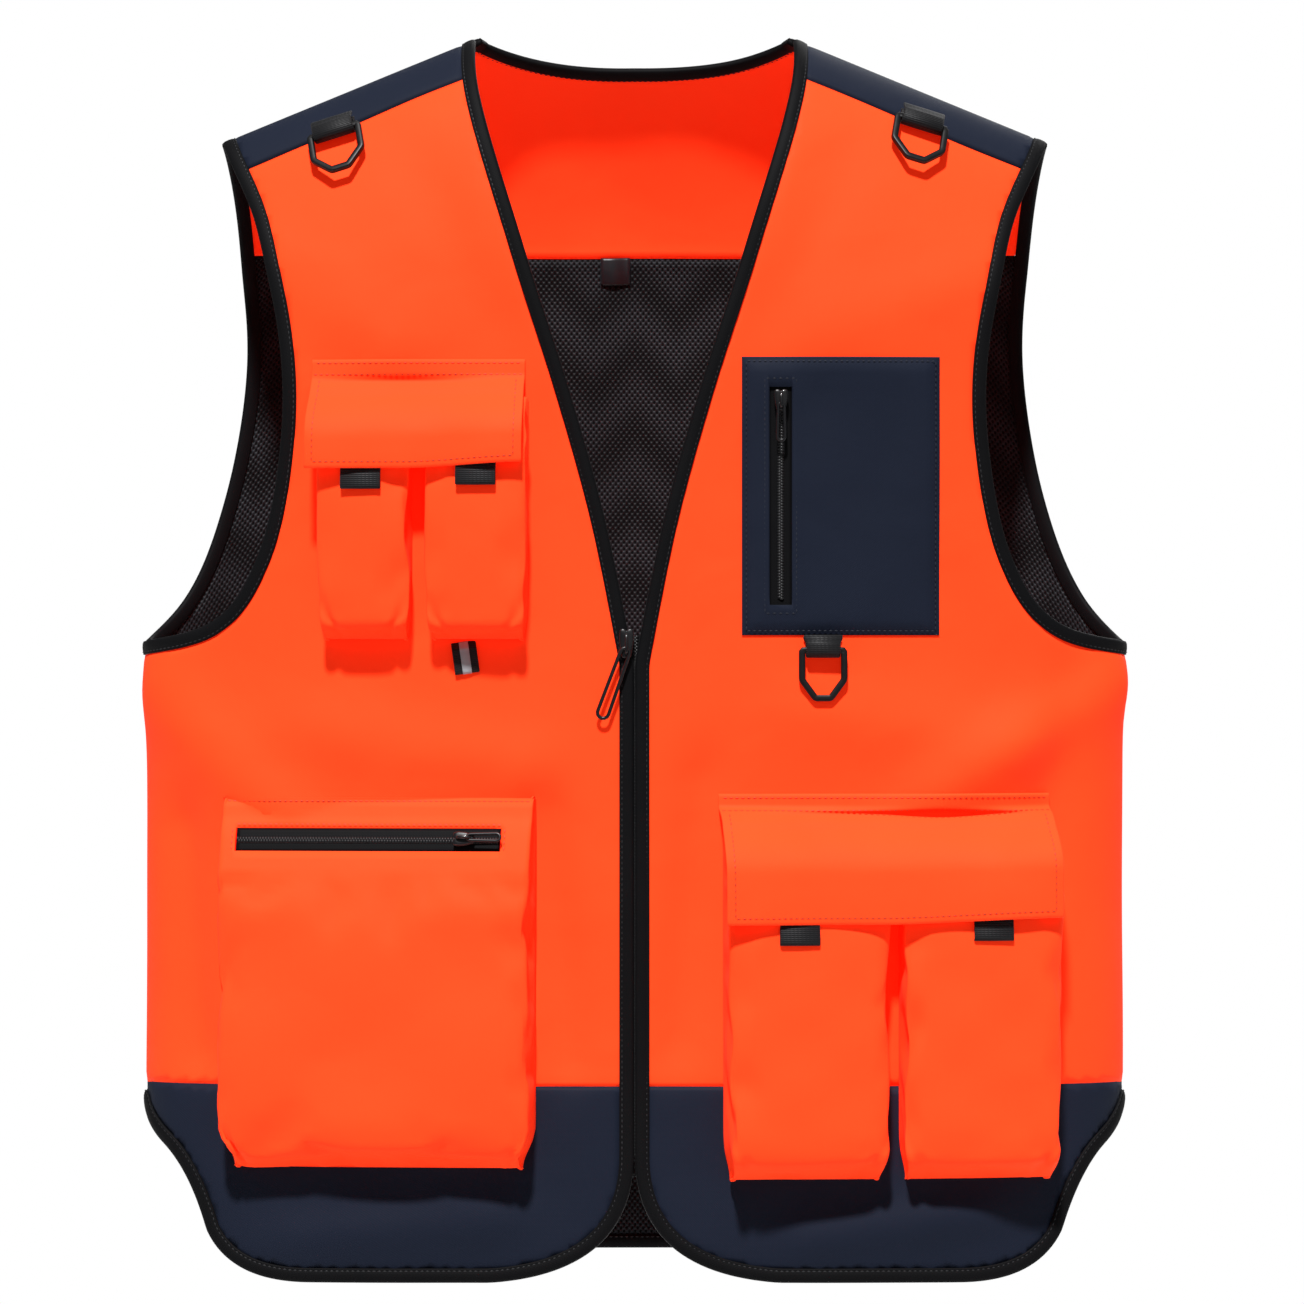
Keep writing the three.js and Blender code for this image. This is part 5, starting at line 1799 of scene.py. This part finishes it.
def ring_line(outer):
    """The middle line of a ring's bar: straight sides, then two slants to a short flat foot."""
    half = outer / 2 - RING_BAR / 2
    foot = half * 0.33
    sides = [(half - 0.6, 0), (half, -0.6), (half, -17.2), (half - 0.5, -18.2)]
    right = [*sides, (foot + 0.7, -28.1), (foot - 0.1, -28.5)]
    return [*right, *[(-x, z) for x, z in reversed(right)]]


def hung_band(view, step, section, out=0.0):
    """A band that hangs in a loop: its side view (out, z) at even steps, and its section."""
    view = even(view, step)
    path = np.stack([np.zeros(len(view)), -view[:, 0], view[:, 1]], 1)
    normal = unit(np.cross([1.0, 0, 0], np.gradient(path, axis=0)))
    return swept(path + normal * out, normal, section)


class VEST_OT_rings(bpy.types.Operator):
    """Three half-hexagon rings in webbing loops, and the reflective loop below the chest pouch"""

    bl_idname = "vest.rings"
    bl_label = "Rings and loops"

    def execute(self, context):
        lean = math.radians(20)
        spots = (
            ("right_shoulder_ring", "right_ring_webbing", "root", (-179, -62, lean), 34.0, 9, 0.04),
            ("left_shoulder_ring", "left_ring_webbing", "root", (171, -57, -lean), 34.0, 9, 0.04),
            ("chest_ring", "chest_ring_webbing", "left_front", (112, -371, 0.0), 29.0, 8, 0.14),
        )
        for ring, web, body, place, outer, tail, flare in spots:
            matrix = ring_frame(*place)
            self.make_ring(ring, matrix, outer)
            self.make_webbing(web, body, matrix, tail, outer - 8.6, flare)
        self.make_reflective_loop()
        return {"FINISHED"}

    def make_ring(self, name, matrix, outer):
        line = spaced(np.array(ring_line(outer), float), 1.2, closed=True)
        path = np.stack([line[:, 0], np.zeros(len(line)), line[:, 1]], 1)
        turn = np.linspace(0, 2 * math.pi, 16, endpoint=False)
        section = np.stack([np.cos(turn), np.sin(turn)], 1)
        section = [1.95, 1.9] * np.sign(section) * np.sqrt(np.abs(section))
        parts = swept(path, np.tile([0, -1.0, 0], (len(path), 1)), section, closed=True)
        piece = closed_piece(f"{name}_moulding", set_in(parts, matrix)[:2], black_plastic())
        fit(piece, name, "black_plastic", name)

    def make_webbing(self, name, body, matrix, tail, width, flare):
        """The loop round the ring's bar: down the front, round it and back up behind."""
        view = [(1.0, tail + 1.0), (2.6, tail - 3.0), (3.7, 4.5), (3.9, 1.5)]
        view += [(3.85 * math.cos(a), -3.85 * math.sin(a)) for a in np.linspace(0, math.pi, 15)]
        view += [(-3.9, 1.5), (-3.4, 5.0), (-3.0, tail)]
        points, faces, thread = hung_band(view, 1.0, webbing_section(width / 2, 0.6, 0.6, 0.68))
        points[:, 0] *= 1 + flare * eased((points[:, 2] - 4.0) / (tail - 5.0))
        strap = closed_piece(f"{name}_strap", set_in((points, faces, thread), matrix), black_webbing())
        fit(strap, body, "black_webbing", name)

    def make_reflective_loop(self):
        """A folded loop of black webbing with a silver stripe down its middle."""
        low, high = box_of("reflective_loop")
        turned = Matrix.Rotation(math.atan2(0.03, 1), 3, "Z") @ Matrix.Rotation(math.radians(-8), 3, "Y")
        matrix = hung_frame((low + high) / 2, turned)
        view = [(-1.2, 10.0), (1.2, 6.0), (1.3, 0.0), (1.2, -6.0)]
        view += [(1.2 * math.cos(a), -7.4 - 1.2 * math.sin(a)) for a in np.linspace(0, math.pi, 9)]
        view += [(-1.2, -6.0), (-1.1, 9.0)]
        bands = (("web", 7.4, 0.0, black_webbing()), ("stripe", 2.8, -0.3, reflective_tape()))
        for label, half, out, finish in bands:
            parts = set_in(hung_band(view, 0.8, flat_section(half, half * 0.92, 0.36), out), matrix)
            nodes = ("reflective_loop",) if label == "web" else ()
            piece = closed_piece(f"reflective_loop_{label}", parts, finish)
            fit(piece, "right_front", "reflective_webbing", *nodes)


PIECES = (
    VEST_OT_stage,
    VEST_OT_fronts,
    VEST_OT_back,
    VEST_OT_bindings,
    VEST_OT_main_zip,
    VEST_OT_flap_pockets,
    VEST_OT_zip_pocket,
    VEST_OT_breast_pocket,
    VEST_OT_rings,
)
SETTINGS = {
    "vest_cloth": VestClothSettings,
    "vest_trim": VestTrimSettings,
    "vest_pockets": VestPocketSettings,
    "vest_stage": VestStageSettings,
}


class VEST_PT_panel(bpy.types.Panel):
    """Sizes and colours, and a button for each group of pieces"""

    bl_label = "Utility vest"
    bl_idname = "VEST_PT_panel"
    bl_space_type = "VIEW_3D"
    bl_region_type = "UI"
    bl_category = "Vest"

    def draw(self, context):
        for key, group in SETTINGS.items():
            box = self.layout.box()
            for field in group.__annotations__:
                box.prop(getattr(context.scene, key), field)
        for operator in PIECES:
            self.layout.operator(operator.bl_idname)


def register():
    for group in SETTINGS.values():
        bpy.utils.register_class(group)
    for key, group in SETTINGS.items():
        setattr(bpy.types.Scene, key, bpy.props.PointerProperty(type=group))
    for operator in PIECES:
        bpy.utils.register_class(operator)
    bpy.utils.register_class(VEST_PT_panel)


def unregister():
    bpy.utils.unregister_class(VEST_PT_panel)
    for operator in reversed(PIECES):
        bpy.utils.unregister_class(operator)
    for key, group in SETTINGS.items():
        delattr(bpy.types.Scene, key)
        bpy.utils.unregister_class(group)


def main():
    register()
    for operator in PIECES:
        group, name = operator.bl_idname.split(".")
        getattr(getattr(bpy.ops, group), name)()


if __name__ == "__main__":
    main()
